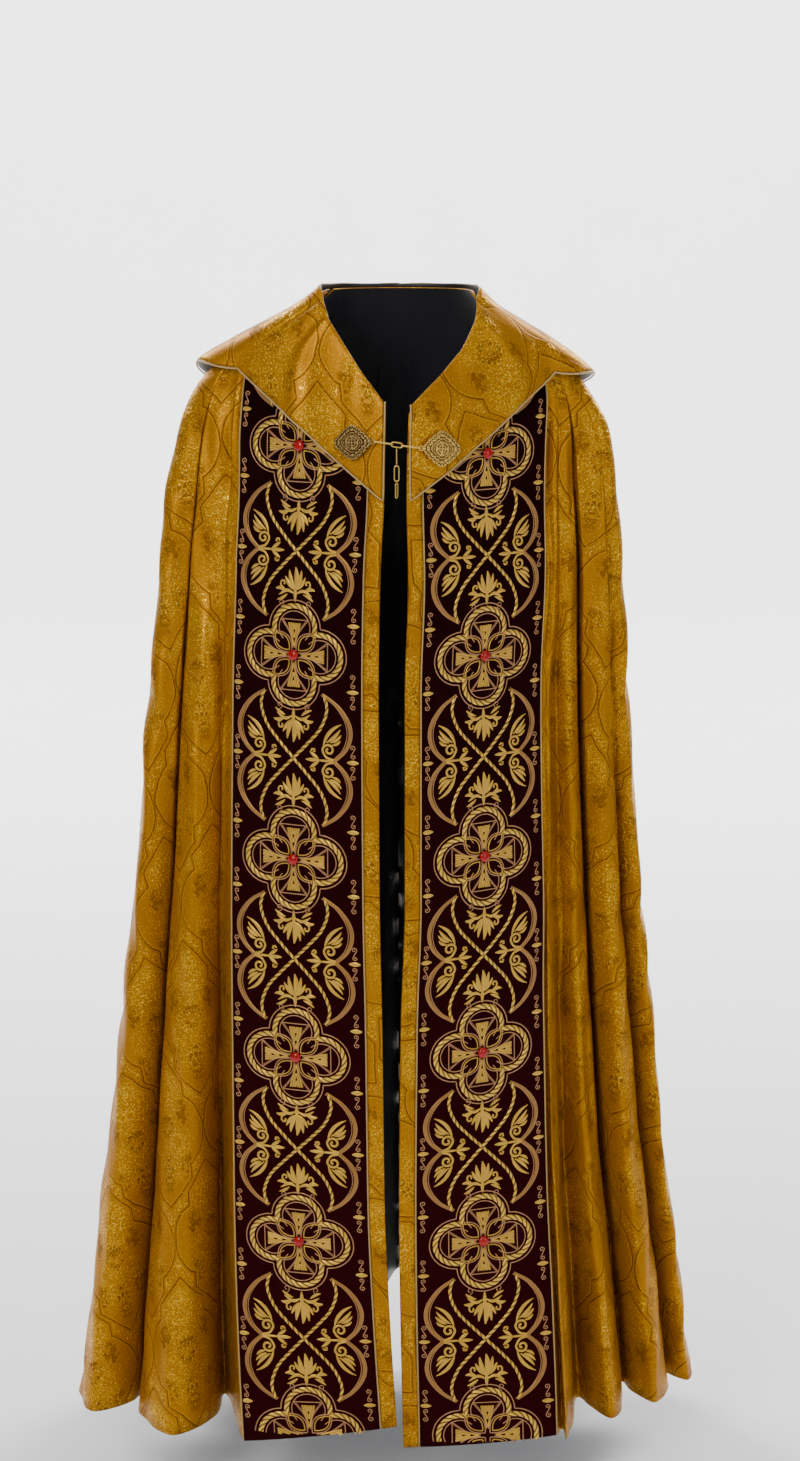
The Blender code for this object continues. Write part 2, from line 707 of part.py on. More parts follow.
def add_clasp(finishes):
    """The plates with their rings, the fastened chain between them and its free tail."""
    brass = finishes["brass"]
    rings = {}
    for side, (out, z, width, height, tilt) in PLATES.items():
        here, normal = base_frame(side, q_at(side, out, z, -1), z)
        facing = Vector(normal)
        across = Vector((0, 0, 1)).cross(facing).normalized()
        across = across if across.x > 0 else -across
        turn = Matrix.Rotation(math.radians(tilt), 3, facing)
        across, up = turn @ across, turn @ across.cross(-facing).normalized()
        centre = Vector(here) + facing * (COLLAR[side][0][4] + COLLAR_THICK + PLATE_GAP)
        plate = add_plate(f"clasp_plate_{side}", centre, across, up, facing, width, height, brass)
        inwards = across if side == "left" else -across
        middle = centre + facing * PLATE_THICK * RING_LEVEL + inwards * (width / 2 + RING_RADIUS - RING_SUNK)
        join_ring(plate, middle, across, up)
        rings[side] = middle + inwards * RING_RADIUS
    add_chain(rings["left"], rings["right"], brass)


def join_ring(plate, centre, across, up):
    """Joins a ring, flat in the plate's plane, to the plate's inner end."""
    steps = 4 * LINK_ARC_STEPS
    path = [
        (RING_RADIUS * math.cos(2 * math.pi * i / steps), 0, RING_RADIUS * math.sin(2 * math.pi * i / steps))
        for i in range(steps)
    ]
    ring = add_ring(f"{plate.name}_ring", path, plate.data.materials[0])
    ring.matrix_world = axes_matrix(centre, across, up)
    ring.hide_render = True
    ring.display_type = "WIRE"
    union = plate.modifiers.new("ring", "BOOLEAN")
    union.operation = "UNION"
    union.object = ring


def axes_matrix(centre, flat, run):
    """Puts a piece's X along flat and its Z along run."""
    run = run.normalized()
    flat = (flat - run * flat.dot(run)).normalized()
    basis = Matrix((flat, run.cross(flat), run)).transposed()
    return Matrix.Translation(centre) @ basis.to_4x4()


def add_chain(start, end, brass):
    """Links from the left plate's ring to the right one's, and the tail on the middle link."""
    run = (end - start).normalized()
    up = Vector((0, 0, 1)) - run * run.z
    up.normalize()
    forward = run.cross(up)
    inset = 2 * WIRE + LINK_PLAY  # from a link's end to the neighbour's wire, along centre lines
    middle_pitch = MIDDLE_LINK - 2 * WIRE
    side_pitch = ((end - start).length - middle_pitch) / 2
    side_length = side_pitch + 2 * inset + 2 * WIRE
    for name, way, first in (("chain_link_left", 1, start), ("chain_hook_right", -1, end)):
        centre = first + run * way * side_pitch / 2
        add_link(name, centre, forward, run, side_length, brass)
    middle = start + run * (side_pitch + middle_pitch / 2)
    add_link("chain_link_middle", middle, up, run, MIDDLE_LINK, brass)

    pivot = middle - up * (LINK_WIDTH / 2 - WIRE)
    down = Vector((0, 0, -1))
    for number, turned in enumerate(TAIL_TURNS, 1):
        flat = Matrix.Rotation(math.radians(turned), 3, "Z") @ Vector((1, 0, 0))
        centre = pivot - down * inset + down * (LINK_LENGTH / 2 - WIRE)
        add_link(f"tail_link_{number}", centre, flat, down, LINK_LENGTH, brass)
        pivot = centre + down * (LINK_LENGTH / 2 - WIRE)


def add_link(name, centre, flat, run, length, finish):
    link = add_ring(name, link_path(length, LINK_WIDTH), finish)
    link.matrix_world = axes_matrix(centre, flat, run)
    return link


def add_plate(name, centre, across, up, facing, width, height, finish):
    """A flat lozenge with a scalloped rim."""
    around = PLATE_SCALLOPS * 4
    outline = []
    for i in range(around):
        angle = 2 * math.pi * i / around
        wave = PLATE_SCALLOP_DEPTH * abs(math.sin(angle * PLATE_SCALLOPS / 2))
        c, s = math.cos(angle), math.sin(angle)
        power = PLATE_LOZENGE
        reach = (abs(c / (width / 2)) ** power + abs(s / (height / 2)) ** power) ** (-1 / power)
        outline.append((reach - PLATE_SCALLOP_DEPTH + wave) * (across * c + up * s))
    vertices = [centre + p for p in outline] + [centre + p + facing * PLATE_THICK for p in outline]
    faces = [tuple(range(around)), tuple(range(2 * around - 1, around - 1, -1))]
    faces += [(i, around + i, around + (i + 1) % around, (i + 1) % around) for i in range(around)]
    made = add_mesh(name, vertices, faces, finish, smooth=False)
    if signed_volume(made.data) < 0:
        made.data.flip_normals()
    return made


def add_jewels(side, finish):
    """Domed stones down the middle of the band."""
    distance = (BAND_START + BAND_END) / 2 + JEWEL_SHIFT[side]
    for number, z in enumerate(JEWEL_LEVELS[side], 1):
        here, normal = base_frame(side, distance / PANEL_REACH, z)
        rings = [(JEWEL_RADIUS, 0.0), (JEWEL_RADIUS, JEWEL_GIRDLE)]
        for step in range(1, JEWEL_STEPS):
            angle = math.pi / 2 * step / JEWEL_STEPS
            rise = (JEWEL_HEIGHT - JEWEL_GIRDLE) * math.sin(angle)
            rings.append((JEWEL_RADIUS * math.cos(angle), JEWEL_GIRDLE + rise))
        vertices = []
        for radius, height in rings:
            for i in range(JEWEL_SIDES):
                angle = 2 * math.pi * i / JEWEL_SIDES
                vertices.append((radius * math.cos(angle), radius * math.sin(angle), height))
        top = len(vertices)
        vertices.append((0, 0, JEWEL_HEIGHT))
        faces = [tuple(range(JEWEL_SIDES - 1, -1, -1))]
        for k in range(len(rings) - 1):
            for i in range(JEWEL_SIDES):
                a, b = k * JEWEL_SIDES + i, k * JEWEL_SIDES + (i + 1) % JEWEL_SIDES
                faces.append((a, b, b + JEWEL_SIDES, a + JEWEL_SIDES))
        last = (len(rings) - 1) * JEWEL_SIDES
        faces += [(last + i, last + (i + 1) % JEWEL_SIDES, top) for i in range(JEWEL_SIDES)]
        jewel = add_mesh(f"jewel_{side}_{number}", vertices, faces, finish)
        facing = Vector(normal)
        seat = Vector(here) + facing * (BAND[1] + JEWEL_GAP)
        jewel.matrix_world = axes_matrix(seat, Vector((1, 0, 0)), facing)


def main():
    clear_scene()
    finishes = {
        "brocade": material("gold brocade", (0.62, 0.38, 0.05), 0.5),
        "lining": material("dark lining", (0.02, 0.02, 0.03), 0.7),
        "velvet": material("wine velvet", (0.06, 0.01, 0.015), 0.9),
        "piping": material("light gold piping", (0.72, 0.58, 0.30), 0.5),
        "brass": material("cast brass", (0.75, 0.58, 0.28), 0.35, 1.0),
        "glass": material("red glass", (0.65, 0.01, 0.02), 0.1),
    }
    for side in ("left", "right"):
        add_half(side, finishes)
        add_jewels(side, finishes["glass"])
    add_collar(finishes)
    add_clasp(finishes)


main()
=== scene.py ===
"""The looks of the cope: brocade, velvet, embroidery, piping, lining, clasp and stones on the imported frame.

Metres, +Z up, fronts facing -Y. "left" is -X, as seen from the front. The tables and shape functions are
part.py's, taken on finer grids, so that every shell lies where its CAD solid does.
"""

import math

import bpy
import numpy as np
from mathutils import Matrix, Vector


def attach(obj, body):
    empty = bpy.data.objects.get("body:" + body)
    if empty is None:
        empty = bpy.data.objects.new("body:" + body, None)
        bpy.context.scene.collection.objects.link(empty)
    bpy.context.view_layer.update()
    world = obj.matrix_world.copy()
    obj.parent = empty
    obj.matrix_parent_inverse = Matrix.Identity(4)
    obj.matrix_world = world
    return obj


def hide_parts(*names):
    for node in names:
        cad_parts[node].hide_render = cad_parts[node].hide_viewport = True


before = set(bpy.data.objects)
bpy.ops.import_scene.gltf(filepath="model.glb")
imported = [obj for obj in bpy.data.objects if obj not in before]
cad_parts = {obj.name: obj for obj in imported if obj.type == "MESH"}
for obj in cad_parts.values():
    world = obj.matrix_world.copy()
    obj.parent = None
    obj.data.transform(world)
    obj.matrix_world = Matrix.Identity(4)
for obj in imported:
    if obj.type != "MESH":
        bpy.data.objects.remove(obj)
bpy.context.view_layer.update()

# ---- the cope's form, as in part.py

GAP = 0.0003  # between cloths that touch or are sewn together
HEM = -1.450

# Distances out from the mantle's outer face. Strip, band and piping start at GAP.
MANTLE_INNER = -0.0012
LINING_OUTER = -0.0015
STRIP_OUTER = 0.0015
BAND_OUTER = 0.0018
PIPING_OUTER = 0.0024

# Across the front panel, from the opening outwards.
PANEL_REACH = 0.200
STRIP_WIDTH = 0.0195
PIPING_WIDTH = 0.0022
BAND_START = STRIP_WIDTH + PIPING_WIDTH + 2 * GAP
BAND_END = PANEL_REACH - PIPING_WIDTH - GAP
PANEL_BULGE = 0.03  # rise of the panel's middle over its chord, as a share of its reach

# out: the half-width. edge: how far outwards the opening's edge is from the middle. front: how far
# forward it is. reach and turn: the panel's chord from there, turned back by degrees.
SECTION_COLUMNS = ("z", "out", "edge", "front", "reach", "turn")
SECTIONS = {
    "left": (
        (0.000, 0.090, 0.015, 0.076, 0.074, 18),
        (-0.020, 0.112, 0.015, 0.089, 0.098, 19),
        (-0.045, 0.156, 0.015, 0.101, 0.138, 21),
        (-0.070, 0.200, 0.015, 0.110, 0.172, 23),
        (-0.095, 0.234, 0.015, 0.118, 0.190, 25),
        (-0.130, 0.259, 0.015, 0.129, 0.197, 26),
        (-0.180, 0.277, 0.016, 0.136, 0.200, 26),
        (-0.240, 0.289, 0.017, 0.141, 0.200, 26),
        (-0.340, 0.301, 0.022, 0.148, 0.200, 26),
        (-0.480, 0.313, 0.024, 0.156, 0.200, 24),
        (-0.740, 0.333, 0.023, 0.171, 0.200, 20),
        (-0.900, 0.349, 0.020, 0.181, 0.200, 17),
        (-1.145, 0.375, 0.017, 0.193, 0.200, 14),
        (-1.260, 0.388, 0.012, 0.198, 0.200, 10),
        (HEM, 0.410, 0.001, 0.203, 0.200, 1),
    ),
    "right": (
        (0.000, 0.090, 0.013, 0.076, 0.074, 20),
        (-0.020, 0.108, 0.013, 0.089, 0.094, 22),
        (-0.045, 0.148, 0.013, 0.101, 0.130, 24),
        (-0.070, 0.188, 0.013, 0.110, 0.165, 27),
        (-0.095, 0.217, 0.013, 0.118, 0.188, 29),
        (-0.130, 0.241, 0.013, 0.129, 0.197, 30),
        (-0.180, 0.266, 0.011, 0.136, 0.200, 31),
        (-0.240, 0.275, 0.010, 0.141, 0.200, 31),
        (-0.340, 0.286, 0.012, 0.148, 0.200, 31),
        (-0.480, 0.296, 0.008, 0.156, 0.200, 31),
        (-0.740, 0.311, 0.008, 0.171, 0.200, 28),
        (-0.900, 0.326, 0.003, 0.181, 0.200, 24),
        (-1.145, 0.351, 0.001, 0.193, 0.200, 17),
        (-1.260, 0.366, 0.002, 0.198, 0.200, 11),
        (HEM, 0.390, 0.006, 0.203, 0.200, 2),
    ),
}
BACK = (  # z, and how far back the centre back hangs
    (0.000, 0.076),
    (-0.045, 0.104),
    (-0.095, 0.128),
    (-0.180, 0.152),
    (-0.340, 0.174),
    (-0.740, 0.205),
    (HEM, 0.262),
)
SIDE_SHARE = 0.30  # of the way from the band to the centre back, where the half is widest
SIDE_ROUND = 1.0  # length of the ring's tangents over its chord at the side
BACK_ROUND = 1.85  # and over its half-widths at the back

NECKLINE = {  # z, and how far outwards the collar's inner edge is
    "left": (
        (0.0, 0.090),
        (-0.013, 0.088),
        (-0.035, 0.080),
        (-0.065, 0.0605),
        (-0.099, 0.0375),
        (-0.127, 0.015),
    ),
    "right": (
        (0.0, 0.092),
        (-0.025, 0.091),
        (-0.039, 0.088),
        (-0.069, 0.072),
        (-0.099, 0.046),
        (-0.130, 0.013),
    ),
}
NECK_SETBACK = 0.004  # how far the mantle's neckline stops short of the collar's
NECK_LOWEST = -0.14  # where the search for the neckline starts
SEARCH_STEPS = 40  # halvings in each search

# The folds at the hem, from the band round to the centre back. out and y: where the crest or valley is.
# width: across a pipe, and 0 at a valley. starts: the height where it fades out. growth: below 1 it
# opens at once, above 1 it opens mostly near the hem.
FOLDS = {
    "left": (
        (0.232, -0.082, 0, -0.30, 1.40),
        (0.292, -0.192, 0.098, -0.12, 1.00),
        (0.342, -0.072, 0, -0.11, 0.80),
        (0.404, -0.130, 0.080, -0.16, 1.00),
        (0.400, 0.000, 0, -0.16, 0.90),
        (0.424, 0.086, 0.084, -0.20, 1.00),
        (0.352, 0.116, 0, -0.18, 0.95),
        (0.338, 0.214, 0.100, -0.24, 1.05),
        (0.228, 0.178, 0, -0.20, 0.95),
        (0.210, 0.284, 0.094, -0.26, 1.10),
        (0.118, 0.195, 0, -0.22, 1.00),
        (0.085, 0.298, 0.070, -0.28, 1.00),
        (0.030, 0.210, 0, -0.24, 1.05),
    ),
    "right": (
        (0.216, -0.202, 0.012, -0.50, 1.30),
        (0.240, -0.092, 0, -0.34, 1.30),
        (0.279, -0.148, 0.044, -0.13, 1.00),
        (0.302, -0.050, 0, -0.11, 0.80),
        (0.343, -0.108, 0.050, -0.30, 1.00),
        (0.357, -0.006, 0, -0.30, 1.00),
        (0.392, -0.046, 0.036, -0.20, 1.00),
        (0.372, 0.046, 0, -0.20, 0.95),
        (0.396, 0.116, 0.080, -0.22, 1.00),
        (0.326, 0.134, 0, -0.18, 0.95),
        (0.306, 0.226, 0.096, -0.26, 1.05),
        (0.195, 0.180, 0, -0.20, 0.95),
        (0.180, 0.286, 0.090, -0.24, 1.10),
        (0.088, 0.196, 0, -0.22, 1.00),
        (0.066, 0.286, 0.060, -0.30, 1.00),
        (0.026, 0.212, 0, -0.26, 1.05),
    ),
}
CENTRE_CREST = (0.0, 0.298, -0.26, 1.00)  # out, y, starts and growth of the crest at the centre back
HEM_MIDDLE = (0.0, 0.03)  # of the hem's plan, from which directions are taken
LEAST_STEP = 0.006  # in q, between two control points
PIPE_ROUND = 0.45  # how far down its depth a pipe is at its full width

HEM_RISE = {  # how far the hem is above HEM at the opening and at the band's outer edge
    "left": (0.019, -0.003),
    "right": (-0.010, 0.003),
}

# The collar's outer edge, from the centre front to the centre back: out and z in the front view, then -1 in
# front, 0 on the shoulder line or 1 behind, the share of the neckline passed, and how far it stands off.
COLLAR_THICK = 0.0018
COLLAR_LINING_THICK = 0.0008
COLLAR = {
    "left": (
        (0.0150, -0.2400, -1, 0.00, 0.0085),
        (0.0580, -0.2060, -1, 0.16, 0.0085),
        (0.1020, -0.1690, -1, 0.32, 0.0085),
        (0.1460, -0.1310, -1, 0.45, 0.0090),
        (0.1920, -0.0920, -1, 0.53, 0.0110),
        (0.2360, -0.0960, 0, 0.60, 0.0170),
        (0.2150, -0.1250, 1, 0.68, 0.0100),
        (0.1500, -0.1660, 1, 0.80, 0.0090),
        (0.0780, -0.1920, 1, 0.90, 0.0085),
        (0.0000, -0.2020, 1, 1.00, 0.0085),
    ),
    "right": (
        (0.0120, -0.2400, -1, 0.00, 0.0085),
        (0.0560, -0.2090, -1, 0.16, 0.0085),
        (0.1000, -0.1735, -1, 0.32, 0.0085),
        (0.1460, -0.1330, -1, 0.45, 0.0090),
        (0.1880, -0.0980, -1, 0.53, 0.0110),
        (0.2230, -0.1090, 0, 0.60, 0.0170),
        (0.2050, -0.1320, 1, 0.68, 0.0100),
        (0.1450, -0.1700, 1, 0.80, 0.0090),
        (0.0760, -0.1930, 1, 0.90, 0.0085),
        (0.0000, -0.2020, 1, 1.00, 0.0085),
    ),
}
COLLAR_NECK_FRONT = 0.62  # share of the neckline's length that is the V in front
COLLAR_PIPING = 0.0024
COLLAR_PIPING_GAP = 0.0007

# The clasp: two cast plates joined by links, with a tail of links that hangs free.
PLATES = {  # out, z, width, height and tilt in degrees
    "left": (0.0490, -0.1750, 0.050, 0.044, 4),
    "right": (0.0447, -0.1825, 0.0535, 0.0455, -4),
}
PLATE_THICK = 0.0028
RING_LEVEL = 0.7  # of the plate's thickness
PLATE_GAP = 0.0056
PLATE_LOZENGE = 1.3  # power of the outline: 1 is a diamond and 2 an ellipse
PLATE_SCALLOPS = 16
PLATE_SCALLOP_DEPTH = 0.0014
WIRE = 0.0008  # radius
RING_RADIUS = 0.0026  # of the plates' rings, to the middle of the wire
RING_SUNK = 0.0010  # how deep the ring is set into its plate
LINK_LENGTH = 0.0200
MIDDLE_LINK = 0.0150
LINK_WIDTH = 0.0070
LINK_PLAY = 0.0003  # between the wires of two linked links
TAIL_TURNS = (90, 0, 62)  # of each tail link about its own length, in degrees

JEWEL_LEVELS = {
    "left": (-0.182, -0.437, -0.692, -0.944, -1.186),
    "right": (-0.192, -0.440, -0.692, -0.942, -1.187),
}
JEWEL_RADIUS = 0.0070
JEWEL_HEIGHT = 0.0048
JEWEL_GIRDLE = 0.0010
JEWEL_GAP = 0.0010
JEWEL_SHIFT = {"left": 0.002, "right": -0.001}  # outwards from the band's middle

SIDES = ("left", "right")
MIRROR = {"left": -1, "right": 1}
TINY = 1e-12  # least length that a direction is taken from


def unit(vectors):
    return vectors / np.maximum(np.linalg.norm(vectors, axis=-1, keepdims=True), TINY)


def hermite(start, leaving, end, arriving, t):
    return (
        start * (1 + 2 * t) * (1 - t) ** 2
        + leaving * t * (1 - t) ** 2
        + end * t * t * (3 - 2 * t)
        + arriving * t * t * (t - 1)
    )


def through(xs, ys, x):
    """The values at x of a smooth curve through the points, with no overshoot between them."""
    xs, ys = np.asarray(xs, float), np.asarray(ys, float)
    if xs[0] > xs[-1]:
        xs, ys = xs[::-1], ys[::-1]
    steps = np.diff(xs)
    rises = np.diff(ys) / steps
    before, after = rises[:-1], rises[1:]
    level = before * after <= 0
    inner = np.where(level, 0, 2 * before * after / np.where(level, 1, before + after))
    slopes = np.concatenate(([rises[0]], inner, [rises[-1]]))
    x = np.clip(x, xs[0], xs[-1])
    i = np.clip(np.searchsorted(xs, x, "right") - 1, 0, len(steps) - 1)
    t = (x - xs[i]) / steps[i]
    return hermite(ys[i], slopes[i] * steps[i], ys[i + 1], slopes[i + 1] * steps[i], t)


def rounded(points, s):
    """A smooth curve through the points, one for each whole s, with an end tangent mirrored at each end."""
    k = min(int(s), len(points) - 2)
    before = points[max(k - 1, 0)]
    start, end = points[k], points[k + 1]
    after = points[min(k + 2, len(points) - 1)]
    spans = [max(math.dist(a, b), 1e-6) ** 0.5 for a, b in ((before, start), (start, end), (end, after))]
    here = [np.array(p, float) for p in (before, start, end, after)]
    leaving = (here[2] - here[1]) / spans[1]
    arriving = leaving
    if k > 0:
        first = (here[1] - here[0]) / spans[0]
        leaving = first + (leaving - first) * spans[0] / (spans[0] + spans[1])
    if k + 2 < len(points):
        last = (here[3] - here[2]) / spans[2]
        middle = (here[2] - here[1]) / spans[1]
        arriving = middle + (last - middle) * spans[1] / (spans[1] + spans[2])
    return hermite(here[1], leaving * spans[1], here[2], arriving * spans[1], s - k)


def section(side, z):
    rows = SECTIONS[side]
    levels = [row[0] for row in rows]
    found = {name: through(levels, [row[i] for row in rows], z) for i, name in enumerate(SECTION_COLUMNS) if i}
    return found | {"back": through(*zip(*BACK), z)}


def neck_out(side, z):
    rows = NECKLINE[side]
    return np.interp(-z, [-row[0] for row in rows], [row[1] for row in rows])


def pair(a, b):
    return np.stack(np.broadcast_arrays(a, b), -1)


def base(side, q, z):
    """The unfolded surface's (outwards, y). q is 0 at the opening, 1 at the band's edge, 2 at the centre back."""
    q, z = np.broadcast_arrays(np.asarray(q, float), np.asarray(z, float))
    at = section(side, z)
    turn = np.radians(at["turn"])
    along = pair(np.cos(turn), np.sin(turn))
    outwards = pair(np.sin(turn), -np.cos(turn))
    start = pair(at["edge"], -at["front"])
    reach = at["reach"][..., None]
    rise = 4 * PANEL_BULGE * reach
    q = q[..., None]
    panel = start + along * reach * q + outwards * rise * q * (1 - q)
    edge = start + along * reach
    widest = pair(at["out"], 0.0)
    back = pair(0.0, at["back"])
    size = SIDE_ROUND * np.linalg.norm(widest - edge, axis=-1, keepdims=True)
    leaving = unit(along * reach - outwards * rise) * size
    flank = hermite(edge, leaving, widest, np.concatenate((0 * size, size), -1), (q - 1) / SIDE_SHARE)
    t = (q - 1 - SIDE_SHARE) / (1 - SIDE_SHARE)
    behind = hermite(widest, back * BACK_ROUND, back, -widest * BACK_ROUND, t)
    return np.where(q <= 1, panel, np.where(q < 1 + SIDE_SHARE, flank, behind))


def halved(low, high, goes_up):
    """The arrays' boundary between where goes_up says True and where it says False."""
    for _ in range(SEARCH_STEPS):
        middle = (low + high) / 2
        up = goes_up(middle)
        low, high = np.where(up, middle, low), np.where(up, high, middle)
    return (low + high) / 2


def q_towards(side, point):
    """Where the base surface at the hem lies in the direction of a point of the hem's plan."""
    centre = np.array(HEM_MIDDLE)
    wanted = math.atan2(point[0] - centre[0], centre[1] - point[1])

    def short(q):
        there = base(side, q, HEM)
        return np.arctan2(there[..., 0] - centre[0], centre[1] - there[..., 1]) < wanted

    return float(halved(1.0, 2.0, short))


def q_at(side, out, z, where):
    """Where the base surface is this far outwards: in front (-1), at the widest point (0) or behind (1)."""
    if where == 0:
        return 1 + SIDE_SHARE
    low, high = (0.0, 1 + SIDE_SHARE) if where < 0 else (2.0, 1 + SIDE_SHARE)
    return halved(low, high, lambda q: base(side, q, z)[..., 0] < out)


def fold_points(side):
    """Control points of the folded hem: (plan point, starts, growth)."""
    panel_end = base(side, 1, HEM)
    rows = FOLDS[side]
    places = [panel_end, *(np.array(row[:2]) for row in rows), np.array(CENTRE_CREST[:2])]
    points = [(panel_end, rows[0][3], rows[0][4])]
    for i, (_, _, width, starts, growth) in enumerate(rows, 1):
        if not width:
            points.append((places[i], starts, growth))
            continue
        crest = places[i]
        outwards = crest - (places[i - 1] + places[i + 1]) / 2
        depth = np.linalg.norm(outwards)
        outwards /= depth
        along = np.array((-outwards[1], outwards[0]))
        if along @ (places[i + 1] - places[i - 1]) < 0:
            along = -along
        inwards = outwards * depth * PIPE_ROUND
        for way in (-1, 0, 1):
            points.append((crest + along * width / 2 * way - inwards * abs(way), starts, growth))
    points.append((places[-1], *CENTRE_CREST[2:]))
    return points


class Half:
    """One half of the mantle. s runs from -1 at the opening to 0 at the band's outer edge, then to last."""

    def __init__(self, side):
        self.side = side
        self.mirror = MIRROR[side]
        self.points = fold_points(side)
        self.last = len(self.points) - 1
        plan = [p for p, _, _ in self.points]
        self.qs = self.spread(plan)
        self.plan = plan + [np.array((-plan[-2][0], plan[-2][1]))]

    def spread(self, plan):
        """The q of each control point: in front by how far outwards it is, and behind by its direction."""
        behind = next(i for i, (_, y) in enumerate(plan) if y >= 0)
        outs = [out for out, _ in plan[:behind]]
        widest = base(self.side, 1 + SIDE_SHARE, HEM)[0]
        share = (widest - outs[0]) / (max(outs) - outs[0])
        found = [1.0]
        for i, point in enumerate(plan[1:-1], 1):
            if i < behind:
                q = float(q_at(self.side, outs[0] + (point[0] - outs[0]) * share, HEM, -1))
            else:
                q = q_towards(self.side, point)
            found.append(max(q, found[-1] + LEAST_STEP))
        return [*found, 2.0]

    def place(self, s, z):
        """Points for the columns s and the levels z, which has a row of levels for each column."""
        whole = np.arange(self.last + 1)
        q = np.where(s <= 0, s + 1, np.interp(s, whole, self.qs))
        starts = np.interp(s, whole, [p[1] for p in self.points])[:, None]
        growth = np.interp(s, whole, [p[2] for p in self.points])[:, None]
        hem = np.array([rounded(self.plan, max(x, 0.0)) for x in s]) - base(self.side, q, HEM)
        hem[s <= 0] = 0
        opened = np.maximum(0.0, (starts - z) / (starts - HEM)) ** growth
        spot = base(self.side, q[:, None] + 0 * z, z) + opened[..., None] * hem[:, None]
        return np.stack((self.mirror * spot[..., 0], spot[..., 1], z), -1)

    def top(self, s):
        """The height of the mantle's neckline."""

        def on_cloth(z):
            out = np.abs(self.place(s, z[:, None])[:, 0, 0])
            return out >= neck_out(self.side, z) + NECK_SETBACK

        found = halved(np.full(len(s), NECK_LOWEST), np.zeros(len(s)), on_cloth)
        level = np.abs(self.place(s, np.zeros((len(s), 1)))[:, 0, 0])
        open_top = (level > neck_out(self.side, 0.0) - NECK_SETBACK) | (s > self.last / 2)
        return np.where(open_top, 0.0, found)

    def bottom(self, s):
        at_opening, at_band = HEM_RISE[self.side]
        on_panel = HEM + at_band + (at_opening - at_band) * -s
        return np.where(s <= 0, on_panel, HEM + at_band * np.maximum(0.0, 1 - s))

    def grid(self, s, shares):
        top, bottom = self.top(s)[:, None], self.bottom(s)[:, None]
        z = top + (bottom - top) * np.asarray(shares)
        return self.place(s, z)


# ---- meshes


def grid_normals(grid, mirror):
    """Unit normals, halfway between those of the cells on either side, however unequal their widths are."""
    ways = unit(np.diff(grid, axis=0))
    along = np.concatenate((ways[:1], ways[:-1] + ways[1:], ways[-1:]))
    return unit(np.cross(np.gradient(grid, axis=1), along) * mirror)


def add_mesh(name, points, faces, finish, uv=None, body="garment"):
    """A smooth mesh on its body. uv has one row for each point."""
    mesh = bpy.data.meshes.new(name)
    mesh.from_pydata(np.asarray(points, float).tolist(), [], [[int(i) for i in face] for face in faces])
    if uv is not None:
        layer = mesh.uv_layers.new(name="UVMap")
        corners = np.empty(len(mesh.loops), np.int64)
        mesh.loops.foreach_get("vertex_index", corners)
        layer.data.foreach_set("uv", np.asarray(uv, np.float32)[corners].ravel())
    mesh.materials.append(FINISHES[finish])
    mesh.shade_smooth()
    mesh.update()
    made = bpy.data.objects.new(name, mesh)
    bpy.context.scene.collection.objects.link(made)
    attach(made, body)
    return made


def signed_volume(mesh):
    total = 0.0
    for polygon in mesh.polygons:
        first, *rest = (mesh.vertices[i].co for i in polygon.vertices)
        total += sum(first.dot(b.cross(c)) for b, c in zip(rest, rest[1:]))
    return total / 6


def add_solid(name, points, faces, finish, uv=None, body="garment"):
    """A closed smooth mesh, turned outwards."""
    made = add_mesh(name, points, faces, finish, uv, body)
    if signed_volume(made.data) < 0:
        made.data.flip_normals()
    return made


def stand_for(made, node):
    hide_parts(node)
    return made


def quads(columns, rows):
    i, j = np.meshgrid(np.arange(columns - 1), np.arange(rows - 1), indexing="ij")
    a = (i * rows + j).ravel()
    return np.stack((a, a + 1, a + rows + 1, a + rows), 1)


def ring_quads(rings, sides, start=0):
    """Faces between successive rings of points."""
    index = start + np.arange(rings * sides).reshape(rings, sides)
    beside = np.roll(index, -1, 1)
    return np.stack((index[:-1], beside[:-1], beside[1:], index[1:]), -1).reshape(-1, 4).tolist()


def fan(ring, tip):
    return [(a, b, tip) for a, b in zip(ring, np.roll(ring, -1))]


def round_angles(count):
    return np.linspace(0, 2 * math.pi, count, endpoint=False)


def rings_along(path, across, up, radius, sides):
    angles = round_angles(sides)[None, :, None]
    return path[:, None] + radius * (across[:, None] * np.cos(angles) + up[:, None] * np.sin(angles))


def add_wall(name, inner, outer, finish, uv, mirror=1):
    """A closed wall between two grids. Its outer face looks along the grid's normals."""
    columns, rows = outer.shape[:2]
    count = columns * rows
    face = quads(columns, rows)
    index = np.arange(count).reshape(columns, rows)
    rim = np.concatenate((index[:, 0], index[-1, 1:], index[-2::-1, -1], index[0, -2:0:-1]))
    beside = np.roll(rim, -1)
    sides = np.stack((rim, beside, beside + count, rim + count), 1)
    faces = np.concatenate((face, face[:, ::-1] + count, sides))
    if mirror < 0:
        faces = faces[:, ::-1]
    points = np.concatenate((outer.reshape(-1, 3), inner.reshape(-1, 3)))
    flat = np.asarray(uv).reshape(-1, 2)
    return add_mesh(name, points, faces, finish, np.concatenate((flat, flat)))


def lengths(grid):
    """How far along its column each point of a grid is."""
    return np.array([run_of(column) for column in grid])


def run_of(line):
    """How far along a line each of its points is."""
    return np.concatenate(([0.0], np.cumsum(np.linalg.norm(np.diff(line, axis=0), axis=1))))


